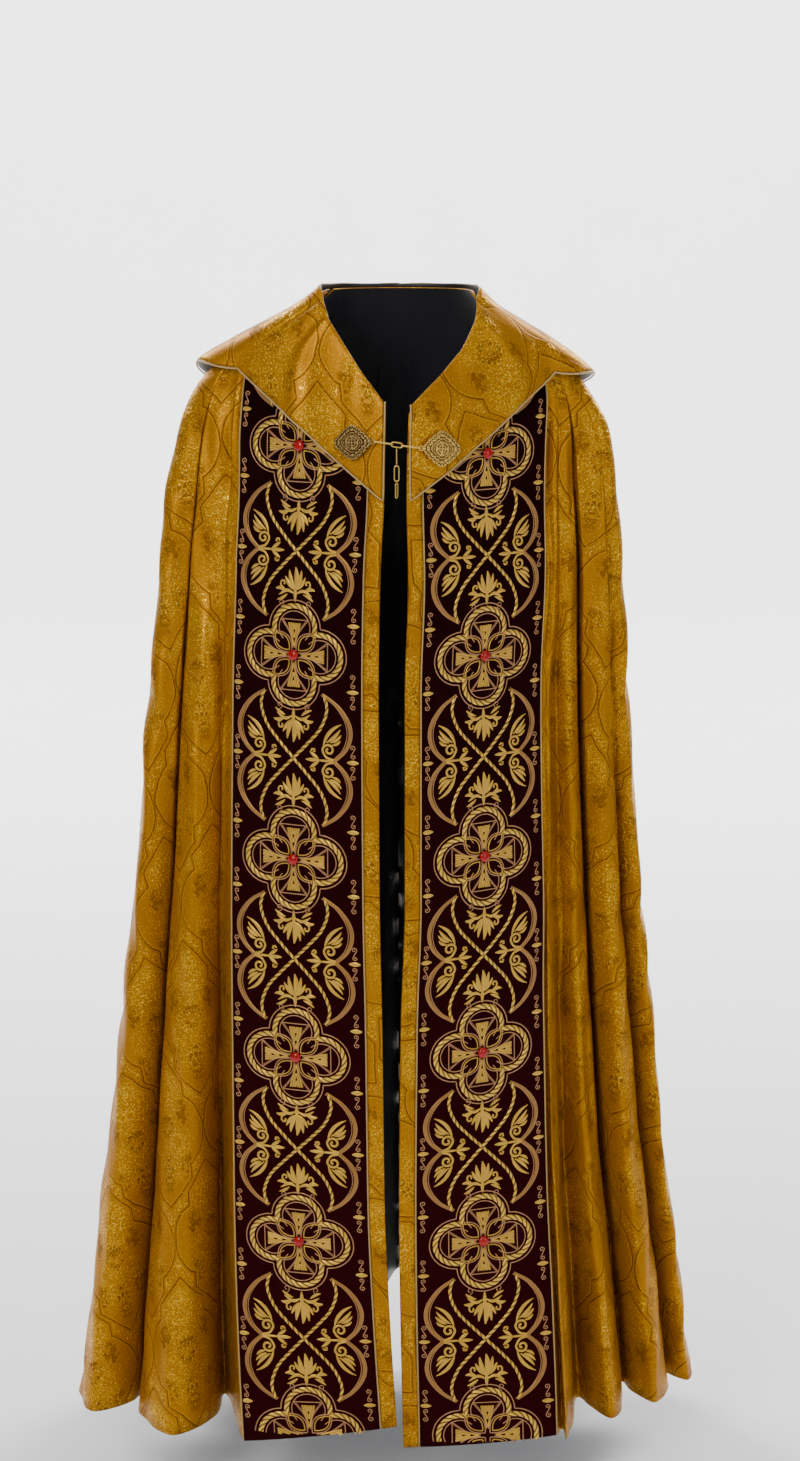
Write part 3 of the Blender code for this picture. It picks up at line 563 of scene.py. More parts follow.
def unrolled(upper, lower, way):
    """Flat positions of the two edges of a strip of cloth, laid out column by column from an upright one."""

    def apex(p, q, from_p, from_q):
        span = q - p
        size = np.linalg.norm(span)
        run = (from_p**2 - from_q**2 + size**2) / (2 * size)
        rise = math.sqrt(max(from_p**2 - run**2, 0.0))
        return p + span / size * run + np.array((-span[1], span[0])) / size * rise * way

    tops = [np.array((0.0, np.linalg.norm(upper[0] - lower[0])))]
    bottoms = [np.zeros(2)]
    for a, b, c, d in zip(upper, lower, upper[1:], lower[1:]):
        tops.append(apex(tops[-1], bottoms[-1], np.linalg.norm(c - a), np.linalg.norm(c - b)))
        bottoms.append(apex(tops[-1], bottoms[-1], np.linalg.norm(d - c), np.linalg.norm(d - b)))
    return np.array(tops), np.array(bottoms)


def cloth_uv(grid, way, first_row=0):
    """Where each point of a grid lies in its flat cut, in metres. The first column is upright in it."""
    tops, bottoms = unrolled(grid[:, first_row], grid[:, -1], way)
    run = lengths(grid)
    share = (run - run[:, first_row, None]) / (run[:, -1] - run[:, first_row])[:, None]
    return tops[:, None] + (bottoms - tops)[:, None] * share[..., None]


# ---- materials


def feed(tree, target, value):
    """Links a socket or a Wire to an input, or gives the input a number or a colour."""
    if isinstance(value, Wire):
        value = value.socket
    if isinstance(value, bpy.types.NodeSocket):
        tree.links.new(value, target)
    else:
        target.default_value = (*value, 1) if isinstance(value, tuple) else value


class Wire:
    """A number from a material's nodes, with arithmetic."""

    def __init__(self, tree, socket):
        self.tree, self.socket = tree, socket

    def math(self, operation, *others):
        node = self.tree.nodes.new("ShaderNodeMath")
        node.operation = operation
        for target, value in zip(node.inputs, (self, *others)):
            feed(self.tree, target, value)
        return Wire(self.tree, node.outputs[0])

    def __add__(self, other):
        return self.math("ADD", other)

    def __sub__(self, other):
        return self.math("SUBTRACT", other)

    def __mul__(self, other):
        return self.math("MULTIPLY", other)

    def __truediv__(self, other):
        return self.math("DIVIDE", other)

    def __abs__(self):
        return self.math("ABSOLUTE")

    def least(self, other):
        return self.math("MINIMUM", other)

    def most(self, other):
        return self.math("MAXIMUM", other)

    def folded(self, period):
        """The distance to the nearest multiple of period, with its sign."""
        return ((self / period + 0.5).math("FRACT") - 0.5) * period

    def under(self, edge, soft):
        """1 below the edge and 0 above it."""
        node = self.tree.nodes.new("ShaderNodeMapRange")
        node.interpolation_type = "SMOOTHSTEP"
        ends = {"Value": self, "From Min": edge - soft, "From Max": edge + soft, "To Min": 1, "To Max": 0}
        for name, value in ends.items():
            feed(self.tree, node.inputs[name], value)
        return Wire(self.tree, node.outputs["Result"])


def hypot(x, y):
    return (x * x + y * y).math("SQRT")


class Finish:
    """A Principled material under construction."""

    def __init__(self, name, colour, roughness, metallic=0.0, **sockets):
        self.material = bpy.data.materials.new(name)
        self.material.use_nodes = True
        self.material.diffuse_color = (*colour, 1)
        self.tree = self.material.node_tree
        self.shader = self.tree.nodes["Principled BSDF"]
        self.set(Base_Color=colour, Roughness=roughness, Metallic=metallic, **sockets)

    def set(self, **sockets):
        for socket, value in sockets.items():
            feed(self.tree, self.shader.inputs[socket.replace("_", " ")], value)

    def node(self, kind, inputs=None, **settings):
        made = self.tree.nodes.new(kind)
        for name, value in settings.items():
            setattr(made, name, value)
        for name, value in (inputs or {}).items():
            feed(self.tree, made.inputs[name], value)
        return made

    def split(self, vector):
        parts = self.node("ShaderNodeSeparateXYZ", {0: vector})
        return [Wire(self.tree, part) for part in parts.outputs]

    def flat(self):
        """The place in the flat cloth, in metres."""
        return self.split(self.node("ShaderNodeUVMap", uv_map="UVMap").outputs["UV"])[:2]

    def spot(self, x, y, z=0.0):
        return self.node("ShaderNodeCombineXYZ", {0: x, 1: y, 2: z}).outputs[0]

    def space(self):
        return self.node("ShaderNodeTexCoord").outputs["Object"]

    def noise(self, where, size, detail=2.0, rough=0.5):
        inputs = {"Vector": where, "Scale": 1 / size, "Detail": detail, "Roughness": rough}
        return Wire(self.tree, self.node("ShaderNodeTexNoise", inputs).outputs["Fac"])

    def cells(self, where, size, feature="F1", loose=1.0):
        inputs = {"Vector": where, "Scale": 1 / size, "Randomness": loose}
        made = self.node("ShaderNodeTexVoronoi", inputs, feature=feature)
        return Wire(self.tree, made.outputs["Distance"])

    def mix(self, share, low, high):
        """A colour between two. Each is a colour or the result of another mix."""
        return self.node("ShaderNodeMix", {0: share, 6: low, 7: high}, data_type="RGBA").outputs[2]

    def bump(self, height, depth, strength=1.0):
        """height runs from 0 to 1, and depth is in metres."""
        inputs = {"Strength": strength, "Distance": depth, "Height": height}
        self.set(Normal=self.node("ShaderNodeBump", inputs).outputs["Normal"])


GOLD_GROUND = (0.430, 0.180, 0.0003)
GOLD_DEEP = (0.330, 0.122, 0.0002)
GOLD_LINE = (0.170, 0.058, 0.002)
GOLD_DARK = (0.190, 0.066, 0.002)
GOLD_BRIGHT = (0.860, 0.480, 0.010)
FIGURE_WIDE = 0.128
FIGURE_TALL = 0.290


def brocade(name, turned=0.0):
    """Gold brocade: lobed pointed cartouches in a half-drop, with sprays, florets and sprigs."""
    made = Finish(name, GOLD_GROUND, 0.40, 0.5, Specular_IOR_Level=0.08)
    x, y = made.flat()
    if turned:
        c, s = math.cos(math.radians(turned)), math.sin(math.radians(turned))
        x, y = x * c + y * s, y * c - x * s
    where = made.spot(x, y)
    x = x + (made.noise(where, 0.050) - 0.5) * 0.010
    y = y + (made.noise(made.spot(x, y, 3.0), 0.050) - 0.5) * 0.012

    def cartouche(px, py):
        ax, ay = abs(px), abs(py)
        body = hypot(ax - 0.012, ay) - 0.0505
        tip = (ax - 0.036).most(ax * 0.72 + (ay - 0.101) * 0.69)
        return body.least(tip)

    first = x.folded(FIGURE_WIDE), y.folded(FIGURE_TALL)
    second = (x + FIGURE_WIDE / 2).folded(FIGURE_WIDE), (y + FIGURE_TALL / 2).folded(FIGURE_TALL)
    from_first, from_second = cartouche(*first), cartouche(*second)
    edge = from_first.least(from_second)
    in_first = from_first.under(0.0, 0.0002)
    px = abs(second[0] + (first[0] - second[0]) * in_first)
    py = second[1] + (first[1] - second[1]) * in_first
    inside = edge.under(-0.0045, 0.001)
    outside = (edge * -1.0).under(-0.0040, 0.001)
    line = abs(edge).under(0.00085, 0.0004)
    rim = abs(edge + 0.0019).under(0.0006, 0.0004)

    petals = made.cells(made.spot(px, py), 0.0072, loose=0.85)
    threads = made.cells(made.spot(px, py, 1.0), 0.0058, "DISTANCE_TO_EDGE")
    speck = made.noise(made.spot(x, y), 0.0024, 2.0, 0.7)
    breaks = made.noise(made.spot(px, py, 5.0), 0.014)
    tufts = made.noise(made.spot(px, py, 7.0), 0.0075, 3.0, 0.6)

    heart = hypot(px / 0.015, (py - 0.006) / 0.017).under(1.0, 0.3)
    buds = hypot((px - 0.031) / 0.010, (abs(py + 0.012) - 0.034) / 0.017).under(1.0, 0.3)
    stems = hypot(px / 0.010, (py + 0.056) / 0.026).under(1.0, 0.3)
    dark_zone = heart.most(buds).most(stems) * inside
    florets = petals.under(0.50, 0.05).most((tufts * -1.0).under(-0.56, 0.03) * 0.8) * dark_zone
    crown = hypot(px / 0.030, (py - 0.052) / 0.036).under(1.0, 0.4)
    spray_zone = crown.most(hypot(px / 0.036, (py + 0.02) / 0.045).under(1.0, 0.4) * 0.7) * inside
    spray = threads.under(0.075, 0.05) * breaks.under(0.54, 0.08) * spray_zone
    sprigs = threads.under(0.070, 0.04) * breaks.under(0.50, 0.05) * outside
    leaves = petals.under(0.36, 0.05) * breaks.under(0.46, 0.04) * outside
    gold = spray.most(sprigs)
    glint = (speck * -1.0).under(-0.60, 0.025) * (spray_zone * 0.7 + outside * 0.5 + 0.25)

    broad = made.noise(made.spot(x, y, 9.0), 0.16, 3.0)
    ground = made.mix(broad, GOLD_DEEP, GOLD_GROUND)
    shade = made.mix(spray_zone * 0.12, ground, (0.560, 0.260, 0.0016))
    shade = made.mix(florets.most(leaves * 0.8) * 0.80, shade, GOLD_DARK)
    shade = made.mix(gold * 0.55, shade, GOLD_BRIGHT)
    shade = made.mix(rim * 0.22, shade, GOLD_BRIGHT)
    shade = made.mix(line * 0.92, shade, GOLD_LINE)
    shade = made.mix(glint.least(1.0) * 0.85, shade, (1.0, 0.72, 0.10))
    made.set(
        Base_Color=shade,
        Roughness=florets * 0.15 - gold * 0.16 + speck * 0.16 + 0.36,
        Metallic=gold.most(glint).least(1.0) * 0.35 + 0.50,
    )
    made.bump(gold * 0.6 - line * 0.9 + florets * 0.3 + speck * 0.35 + 1.0, 0.0007, 0.8)
    return made.material


def velvet():
    made = Finish("wine velvet", (0.012, 0.0004, 0.0010), 0.95, Sheen_Weight=0.07, Sheen_Roughness=0.35)
    made.set(Sheen_Tint=(0.40, 0.010, 0.030), Specular_IOR_Level=0.05)
    x, y = made.flat()
    # Painted light and shade: the velvet is painted near black at the top and redder lower down, as the light
    # falls on its pile.
    low = made.split(made.space())[2].under(-0.62, 0.75)
    pile = made.noise(made.spot(x, y), 0.030, 3.0)
    fine = made.noise(made.spot(x, y, 2.0), 0.0012, 1.0)
    painted_top_shade = made.mix(low, (0.0018, 0.0002, 0.0004), (0.020, 0.0004, 0.0014))
    made.set(Base_Color=made.mix(pile * 0.5, painted_top_shade, (0.026, 0.0007, 0.0020)))
    made.bump(fine, 0.0005, 0.5)
    return made.material


def lining():
    made = Finish("dark lining", (0.006, 0.006, 0.011), 0.45, Sheen_Weight=0.2)
    x, y = made.flat()
    weave = abs((x / 0.0008).math("SINE")) * abs((y / 0.0008).math("SINE"))
    broad = made.noise(made.spot(x, y), 0.08, 3.0)
    made.set(Base_Color=made.mix(broad, (0.004, 0.004, 0.007), (0.010, 0.010, 0.018)))
    made.bump(weave, 0.0002, 0.4)
    return made.material


def thread(name, light, dark, pitch, slant, gap, metallic, roughness):
    """Laid thread, with painted shade in the grooves between its turns. The UVs run along and across the
    stitching, in metres.
    """
    made = Finish(name, light, roughness, metallic, Sheen_Weight=0.2)
    x, y = made.flat()
    turn = (x / pitch + y * (slant / pitch)).math("FRACT")
    groove = abs(turn - 0.5).under(0.5 - gap, 0.10) * -1.0 + 1.0
    broad = made.noise(made.space(), 0.02, 2.0)
    fine = made.noise(made.space(), 0.0011, 1.0)
    lit = made.mix(broad * 0.6, light, tuple(c * 0.72 for c in light))
    # Painted shade: the grooves between the turns are mixed towards the dark colour.
    made.set(Base_Color=made.mix(groove * 0.92, lit, dark))
    made.bump(groove * -0.8 + fine * 0.3 + 1.0, 0.0006, 0.8)
    return made.material


def brass(name, light, dark):
    made = Finish(name, light, 0.30, 1.0)
    worn = made.noise(made.space(), 0.0045, 4.0, 0.6)
    pits = made.noise(made.space(), 0.0011, 2.0)
    pointy = Wire(made.tree, made.node("ShaderNodeNewGeometry").outputs["Pointiness"])
    hollow = pointy.under(0.492, 0.03)
    share = (hollow + worn * 0.35).least(1.0)
    made.set(Base_Color=made.mix(share, light, dark), Roughness=worn * 0.22 + hollow * 0.2 + 0.24)
    made.bump(worn * 0.5 + pits * 0.5, 0.0002, 0.5)
    return made.material


def stone():
    made = Finish("red glass", (0.34, 0.0002, 0.0002), 0.20, Coat_Weight=0.25, Coat_Roughness=0.03)
    swirl = made.noise(made.space(), 0.004)
    shade = made.mix(swirl, (0.22, 0.0001, 0.0001), (0.46, 0.0004, 0.0003))
    made.set(Specular_IOR_Level=0.35, Base_Color=shade)
    return made.material


# Laid threads: name, the thread's colour and the painted shade in its grooves, pitch, slant, gap, metallic and
# roughness.
THREADS = {
    "piping": ("light gold piping", (0.66, 0.43, 0.14), (0.36, 0.20, 0.05), 0.0016, 0.6, 0.16, 0.2, 0.42),
    "rope": ("gold rope stitch", (0.86, 0.52, 0.055), (0.09, 0.025, 0.004), 0.0088, 1.45, 0.19, 0.55, 0.36),
    "satin": ("gold satin stitch", (0.86, 0.51, 0.055), (0.34, 0.15, 0.012), 0.0013, 0.0, 0.14, 0.60, 0.34),
    "braid": ("bronze satin stitch", (0.50, 0.24, 0.040), (0.13, 0.045, 0.008), 0.0014, 0.4, 0.16, 0.60, 0.36),
    "outline": ("rose gold outline", (0.60, 0.30, 0.12), (0.24, 0.09, 0.03), 0.0013, 0.3, 0.12, 0.5, 0.38),
}
FINISHES = {
    "brocade": brocade("gold brocade"),
    "strip": brocade("gold brocade on the bias", 45.0),
    "velvet": velvet(),
    "lining": lining(),
    **{key: thread(*row) for key, row in THREADS.items()},
    # Painted shade: the left plate's brass has darker colours than the right plate's, as it lies in shade.
    "brass_left": brass("cast brass in painted shade", (0.44, 0.29, 0.10), (0.030, 0.016, 0.005)),
    "brass_right": brass("cast brass", (0.80, 0.53, 0.14), (0.075, 0.034, 0.006)),
    "wire": brass("brass wire", (0.90, 0.60, 0.15), (0.26, 0.13, 0.02)),
    "stone": stone(),
}

# ---- the mantle with its lining, and what is sewn to its fronts

PANEL_COLUMNS = 34
COLUMNS_A_POINT = 9  # between two control points of the folds
SHARES = np.concatenate((np.linspace(0, 0.12, 18), np.linspace(0.12, 1, 74)[1:]))
UNROLL_ROW = 14
COVERED_SHARE = 0.045  # of the way down, hidden by the collar, where the strip and the band start
BROCADE_SHIFT = (0.031, 0.04)  # of the figure on the flat cut

# Soft creases: the s and z where each starts and ends, its half-width and its depth out (in if below 0).
CREASES = {
    "left": (
        (1.5, -0.10, 3.4, -0.42, 0.022, -0.0050),
        (3.2, -0.12, 2.0, -0.34, 0.018, 0.0040),
        (5.6, -0.14, 7.2, -0.55, 0.026, -0.0055),
        (4.4, -0.62, 4.9, -1.18, 0.016, -0.0035),
        (2.1, -0.55, 2.5, -1.05, 0.012, 0.0025),
        (9.5, -0.18, 11.5, -0.70, 0.030, -0.0060),
        (14.5, -0.26, 15.5, -0.90, 0.028, 0.0050),
        (19.0, -0.24, 18.0, -0.80, 0.030, -0.0055),
        (23.0, -0.30, 22.5, -1.00, 0.024, 0.0045),
    ),
    "right": (
        (2.0, -0.10, 3.8, -0.40, 0.020, -0.0050),
        (5.0, -0.12, 4.2, -0.46, 0.018, 0.0040),
        (7.5, -0.16, 9.2, -0.62, 0.022, -0.0050),
        (6.2, -0.70, 6.8, -1.22, 0.014, -0.0030),
        (13.0, -0.20, 15.0, -0.74, 0.028, -0.0055),
        (19.0, -0.28, 20.0, -0.94, 0.026, 0.0050),
        (24.0, -0.24, 23.0, -0.82, 0.030, -0.0055),
        (28.0, -0.32, 27.5, -1.04, 0.022, 0.0045),
    ),
}


FULL_TURN = 6.28
FLARE_AT_NECK = 0.25  # the cloth's width at the neck, as a share of that at the hem
RIPPLES = ((0.071, 0.46, 0.0014), (0.113, 0.31, 0.0012), (0.043, 0.62, 0.0007))  # width, height, depth
RIPPLE_PHASE = {"left": 1.7, "right": 4.1}


def ripples(half, s, grid):
    """How far the cloth stands out from its smooth form: listed creases and a fine unevenness."""
    z = grid[..., 2]
    across = run_of(grid[:, -1])[:, None]
    flare = FLARE_AT_NECK + (1 - FLARE_AT_NECK) * np.clip(-z / -HEM, 0, 1)
    total = np.zeros_like(z)
    for s0, z0, s1, z1, width, depth in CREASES[half.side]:
        t = np.clip((z - z0) / (z1 - z0), 0, 1)
        middle = np.interp(s0 + (s1 - s0) * t[len(t) // 2], s, across[:, 0])
        fade = np.where((z < z0) & (z > z1), np.sin(np.pi * t) ** 0.8, 0)
        total += depth * np.exp(-(((across - middle) * flare / width) ** 2)) * fade
    phase = RIPPLE_PHASE[half.side]
    for size, tall, depth in RIPPLES:
        sway = 2.2 * np.sin(z / tall * FULL_TURN + phase * 2)
        total += depth * np.sin(across * flare / size * FULL_TURN + phase + sway)
        phase += 2.3
    off_panel = np.clip(s[:, None] / 1.2, 0, 1) ** 2
    return total * off_panel * np.clip((-0.05 - z) / 0.15, 0, 1)


def base_frame(side, q, z):
    """Points of the base surface and its outward normals, in the cope's own axes."""
    mirror = MIRROR[side]
    step = 1e-3

    def spot(q, z):
        there = base(side, q, z)
        return np.stack((mirror * there[..., 0], there[..., 1], np.broadcast_to(z, there.shape[:-1])), -1)

    along = spot(np.minimum(q + step, 2), z) - spot(np.maximum(q - step, 0), z)
    down = spot(q, z - step) - spot(q, np.minimum(z + step, 0))
    return spot(q, z), unit(np.cross(down, along) * mirror)


def bulk_normals(half, s, grid):
    """The unfolded cope's normals, so that the two sides of a narrow fold move together."""
    q = np.where(s <= 0, s + 1, np.interp(s, np.arange(half.last + 1), half.qs))
    return base_frame(half.side, q[:, None] + 0 * grid[..., 2], grid[..., 2])[1]


def sewn_on(half, name, first, last, heights, finish, rows, slot):
    """A strip on the front panel, with a height for each column, from first to last metres from the opening."""
    s = np.linspace(first / PANEL_REACH - 1, last / PANEL_REACH - 1, len(heights))
    grid = half.grid(s, np.linspace(COVERED_SHARE, 1, rows))
    normals = grid_normals(grid, half.mirror)
    outer = grid + normals * np.reshape(heights, (-1, 1, 1))
    if slot == "piping":
        run = lengths(grid)
        uv = np.stack((run, np.linspace(0, 0.004, len(grid))[:, None] + 0 * run), -1)
    else:
        uv = cloth_uv(grid, half.mirror)
    if name.startswith("edge_strip"):
        outer = outer + normals * puckers(grid)[..., None]
    made = add_wall(f"{name}_cloth", grid + normals * GAP, outer, finish, uv, half.mirror)
    return stand_for(made, name)


def puckers(grid):
    z = grid[..., 2]
    bulge = np.sin(np.pi * np.linspace(0, 1, len(grid))[:, None])
    sway = 3 * np.sin(z / 0.17 * FULL_TURN)
    wave = np.sin(z / 0.031 * FULL_TURN + sway) * np.sin(z / 0.083 * FULL_TURN + 1.0)
    return (0.0007 * wave + 0.0005) * bulge


def add_half(side):
    half = Half(side)
    folds = np.linspace(0, half.last, half.last * COLUMNS_A_POINT + 1)[1:]
    s = np.concatenate((np.linspace(-1, 0, PANEL_COLUMNS), folds))
    grid = half.grid(s, SHARES)
    grid = grid + bulk_normals(half, s, grid) * ripples(half, s, grid)[..., None]
    normals = grid_normals(grid, half.mirror)
    normals[-1, :, 0] = 0  # the halves meet on the centre plane
    normals[-1] = unit(normals[-1])
    grid[-1, :, 0] = 0
    uv = cloth_uv(grid, half.mirror, UNROLL_ROW)
    shifted = uv + (BROCADE_SHIFT[0] * half.mirror, BROCADE_SHIFT[1])
    mantle = add_wall(f"mantle_{side}_cloth", grid + normals * MANTLE_INNER, grid, "brocade", shifted, half.mirror)
    stand_for(mantle, f"mantle_{side}")
    inside = grid + normals * LINING_OUTER
    faces = quads(*inside.shape[:2])[:, :: -half.mirror]
    back = add_mesh(f"lining_{side}_cloth", inside.reshape(-1, 3), faces, "lining", uv.reshape(-1, 2))
    stand_for(back, f"lining_{side}")
    strip = sewn_on(half, f"edge_strip_{side}", 0, STRIP_WIDTH, [STRIP_OUTER] * 7, "strip", 190, "brocade")
    band = sewn_on(half, f"orphrey_{side}", BAND_START, BAND_END, [BAND_OUTER] * 26, "velvet", 110, "velvet")
    bow = np.sqrt(1 - np.linspace(-0.96, 0.96, 7) ** 2)
    heights = GAP + (PIPING_OUTER - GAP) * bow
    for where, first in (("inner", STRIP_WIDTH + GAP), ("outer", BAND_END + GAP)):
        sewn_on(half, f"piping_{side}_{where}", first, first + PIPING_WIDTH, heights, "piping", 150, "piping")
    return half


HALVES = {side: add_half(side) for side in SIDES}

# ---- the bands' embroidery

REPEAT = 0.255
MOTIF_WIDEN = 1.05
STITCH_STEP = 0.0026


def arc(cx, cy, radius, start, end, squash=1.0):
    count = max(4, int(abs(end - start) / 9))
    angles = np.radians(np.linspace(start, end, count))
    return np.stack((cx + radius * np.cos(angles), cy + radius * squash * np.sin(angles)), 1)


def curve(*points):
    """A smooth line through the points."""
    points = [np.array(p, float) for p in points]
    return np.array([rounded(points, s) for s in np.linspace(0, len(points) - 1, 6 * (len(points) - 1) + 1)])


def bowed(start, end, bow):
    """An arc-like line. bow is how far its middle stands to the left of the way, in metres."""
    start, end = np.array(start, float), np.array(end, float)
    t = np.linspace(0, 1, 9)[:, None]
    way = end - start
    left = np.array((-way[1], way[0])) / max(np.linalg.norm(way), 1e-9)
    return start + way * t + left * bow * 4 * t * (1 - t)


def spiral(cx, cy, start, end, begin_angle, turns):
    angles = np.radians(begin_angle) + np.linspace(0, turns * 2 * math.pi, max(8, int(abs(turns) * 14)))
    radii = np.linspace(start, end, len(angles))
    return np.stack((cx + radii * np.cos(angles), cy + radii * np.sin(angles)), 1)


def turned(line, degrees):
    c, s = math.cos(math.radians(degrees)), math.sin(math.radians(degrees))
    return np.asarray(line) @ np.array(((c, s), (-s, c)))


def flipped(line, x=1, y=1):
    return np.asarray(line) * (x, y)


def leaf(start, end, bow, width):
    return ("satin", bowed(start, end, bow), width, True)


ROSETTE_LOBE_AT = 0.0336  # of each lobe's middle from the knot's
ROSETTE_RINGS = ((0.0338, "outline", 0.0014), (0.0268, "rope", 0.0064), (0.0205, "outline", 0.0013))
FLARES = (  # of an arm's sides: three points and the stitch's width
    ((0.0085, 0.0012), (0.025, 0.0048), (0.0435, 0.0178), 0.0013),
    ((0.0120, 0.0006), (0.029, 0.0058), (0.0425, 0.0150), 0.0008),
)
CHEVRONS = ((0.0074, 0.0300), (0.0046, 0.0190), (0.0018, 0.0090))  # half-width and depth
ARM_END = 0.0435
CHEVRON_END = 0.0395


def rosette_strokes():
    """A four-lobed knot with a rope border, petals, and fan-shaped arms. Its centre is the origin."""
    strokes = []
    for radius, kind, width in ROSETTE_RINGS:
        opening = 45 + math.degrees(math.asin(min(1.0, ROSETTE_LOBE_AT / radius / math.sqrt(2))))
        strokes.append((kind, arc(ROSETTE_LOBE_AT, 0, radius, -opening, opening), width, False))
    for bow in (0.0106, -0.0106):
        strokes.append(("outline", bowed((0.0030, 0.0030), (0.0275, 0.0275), bow), 0.0014, False))
        strokes.append(("satin", bowed((0.0060, 0.0060), (0.0252, 0.0252), bow * 0.72), 0.0015, False))
    for side in (1, -1):
        for *points, width in FLARES:
            strokes.append(("outline", curve(*(flipped(point, 1, side) for point in points)), width, False))
    strokes.append(("outline", [(ARM_END, -0.0178), (ARM_END, 0.0178)], 0.0013, False))
    for size, depth in CHEVRONS:
        chevron = [(CHEVRON_END, -size), (CHEVRON_END - depth, 0.0), (CHEVRON_END, size)]
        strokes.append(("satin", chevron, 0.0025, False))
    return [
        (kind, turned(line, turn), width, tapers)
        for turn in (0, 90, 180, 270)
        for kind, line, width, tapers in strokes
    ]


PALMETTE_STRETCH = (1.06, 1.28, 1.12)  # wide, tall, and of the stitches


def palmette(y, way):
    """Seven leaves and two scrolls, with its tip towards way."""
    strokes = []
    for bend, reach, width in ((0, 0.0200, 0.0062), (24, 0.0185, 0.0050), (50, 0.0165, 0.0046)):
        for side in (1, -1) if bend else (1,):
            angle = math.radians(bend)
            end = (side * reach * math.sin(angle), y + way * (0.006 + reach * math.cos(angle)))
            strokes.append(leaf((0, y + way * 0.004), end, -0.0016 * side * way, width))
    for side in (1, -1):
        stem = curve((0.0, y), (0.010 * side, y + 0.0035 * way), (0.0205 * side, y - 0.0015 * way))
        strokes.append(("satin", stem, 0.0036, True))
        tip = (0.0245 * side, y + 0.0045 * way)
        strokes.append(leaf((0.011 * side, y + 0.002 * way), tip, 0.002 * side * way, 0.0044))
        strokes.append(leaf((0.010 * side, y), (0.0225 * side, y - 0.0062 * way), -0.001, 0.0034))
        curl = spiral(0.0175 * side, y - 0.0088 * way, 0.0040, 0.0010, 90, 1.15 * side)
        strokes.append(("outline", curl, 0.0010, False))
        hook = spiral(0.0150 * side, y + 0.0100 * way, 0.0044, 0.0014, -90 * way, 0.9 * side * way)
        strokes.append(("satin", hook, 0.0022, False))
    strokes.append(leaf((0, y - 0.007 * way), (0, y + 0.008 * way), 0.0, 0.0042))
    wide, tall, thick = PALMETTE_STRETCH
    return [
        (kind, np.asarray(line) * (wide, tall) + (0, y * (1 - tall)), width * thick, tapers)
        for kind, line, width, tapers in strokes
    ]


ROPE_ARM = ((0.0180, 0.0190), (0.0352, 0.0400), (0.0432, 0.0640), (0.0392, 0.0810))
HEART_LOBE = (
    (0.0372, 0.0815),
    (0.0560, 0.0690),
    (0.0692, 0.0500),
    (0.0722, 0.0330),
    (0.0660, 0.0140),
    (0.0520, 0.0),
)
WING = (  # leaves: start, end, bow and width
    ((0.0385, 0.0170), (0.0615, 0.0465), 0.0052, 0.0046),
    ((0.0425, 0.0230), (0.0600, 0.0400), -0.0016, 0.0044),
    ((0.0470, 0.0230), (0.0612, 0.0335), -0.0018, 0.0040),
    ((0.0492, 0.0200), (0.0602, 0.0262), -0.0016, 0.0036),
    ((0.0400, 0.0225), (0.0520, 0.0400), 0.0016, 0.0038),
)
SPRIG = (((0.0160, 0.0), 0.0046), ((0.0215, 0.0098), 0.0044), ((0.0215, -0.0098), 0.0044))


def cross_strokes():
    """Two ropes that cross between heart-shaped lobes, with winged scrolls and palmettes."""
    rope = curve(*(flipped(point, -1, -1) for point in reversed(ROPE_ARM)), (0, 0), *ROPE_ARM)
    lobe = curve(*HEART_LOBE)
    hook = curve((0.0520, 0.0012), (0.0425, 0.0042), (0.0375, 0.0120))
    scroll = np.concatenate((hook, spiral(0.0452, 0.0135, 0.0078, 0.0018, 185, -1.25)))
    quarter = [
        ("braid", lobe, 0.0046, False),
        ("outline", lobe * (0.93, 0.985) + (0.0012, 0.0006), 0.0010, False),
        ("outline", lobe * (1.045, 1.010) - (0.0006, 0.0), 0.0010, False),
        ("satin", scroll, 0.0030, False),
        *(leaf(*row) for row in WING),
    ]
    side = [leaf((0.0330, end[1] * 0.12), end, 0.0, width) for end, width in SPRIG]
    for y in (1, -1):
        side.append(("satin", spiral(0.0262, 0.0112 * y, 0.0034, 0.0010, 180, -0.9 * y), 0.0024, False))
    side.append(("satin", [(0.0505, 0), (0.0290, 0)], 0.0030, True))
    strokes = []
    for x in (1, -1):
        strokes.append(("rope", flipped(rope, x), 0.0040, False))
        for y in (1, -1):
            strokes += [(kind, flipped(line, x, y), width, tapers) for kind, line, width, tapers in quarter]
        strokes += [(kind, flipped(line, x), width, tapers) for kind, line, width, tapers in side]
    return strokes + palmette(-0.0530, 1) + palmette(0.0530, -1)


def edge_scroll(x, y):
    """Two small curls above and below a bead, beside the band's edge."""
    strokes = []
    side = 1 if x > 0 else -1
    low = spiral(-0.0006, 0.0078, 0.0008, 0.0033, -72, 1.2)
    high = spiral(0.0006, 0.0182, 0.0036, 0.0008, 180, -1.2)
    scroll = np.concatenate((low, high))
    for way in (1, -1):
        strokes.append(("outline", flipped(scroll, side * way, way) + (x, y), 0.0013, False))
    strokes.append(("satin", np.array([(x - 0.0072, y), (x + 0.0072, y)]), 0.0058, True))
    return strokes


EDGE_SCROLLS = (0.0755, 0.0405)  # out from the band's middle, and up from the knot's


def band_pattern():
    """(knot, crossing): the strokes of each, about its own middle."""
    knot, crossing = rosette_strokes(), cross_strokes()
    out, up = EDGE_SCROLLS
    for x in (-out, out):
        for y in (-up, up):
            knot += edge_scroll(x, y)
        crossing += edge_scroll(x, 0.0)
    return knot, crossing


def resampled(line):
    run = run_of(line)
    at = np.linspace(0, run[-1], max(2, int(run[-1] / STITCH_STEP) + 1))
    return np.stack([np.interp(at, run, line[:, k]) for k in (0, 1)], 1), at


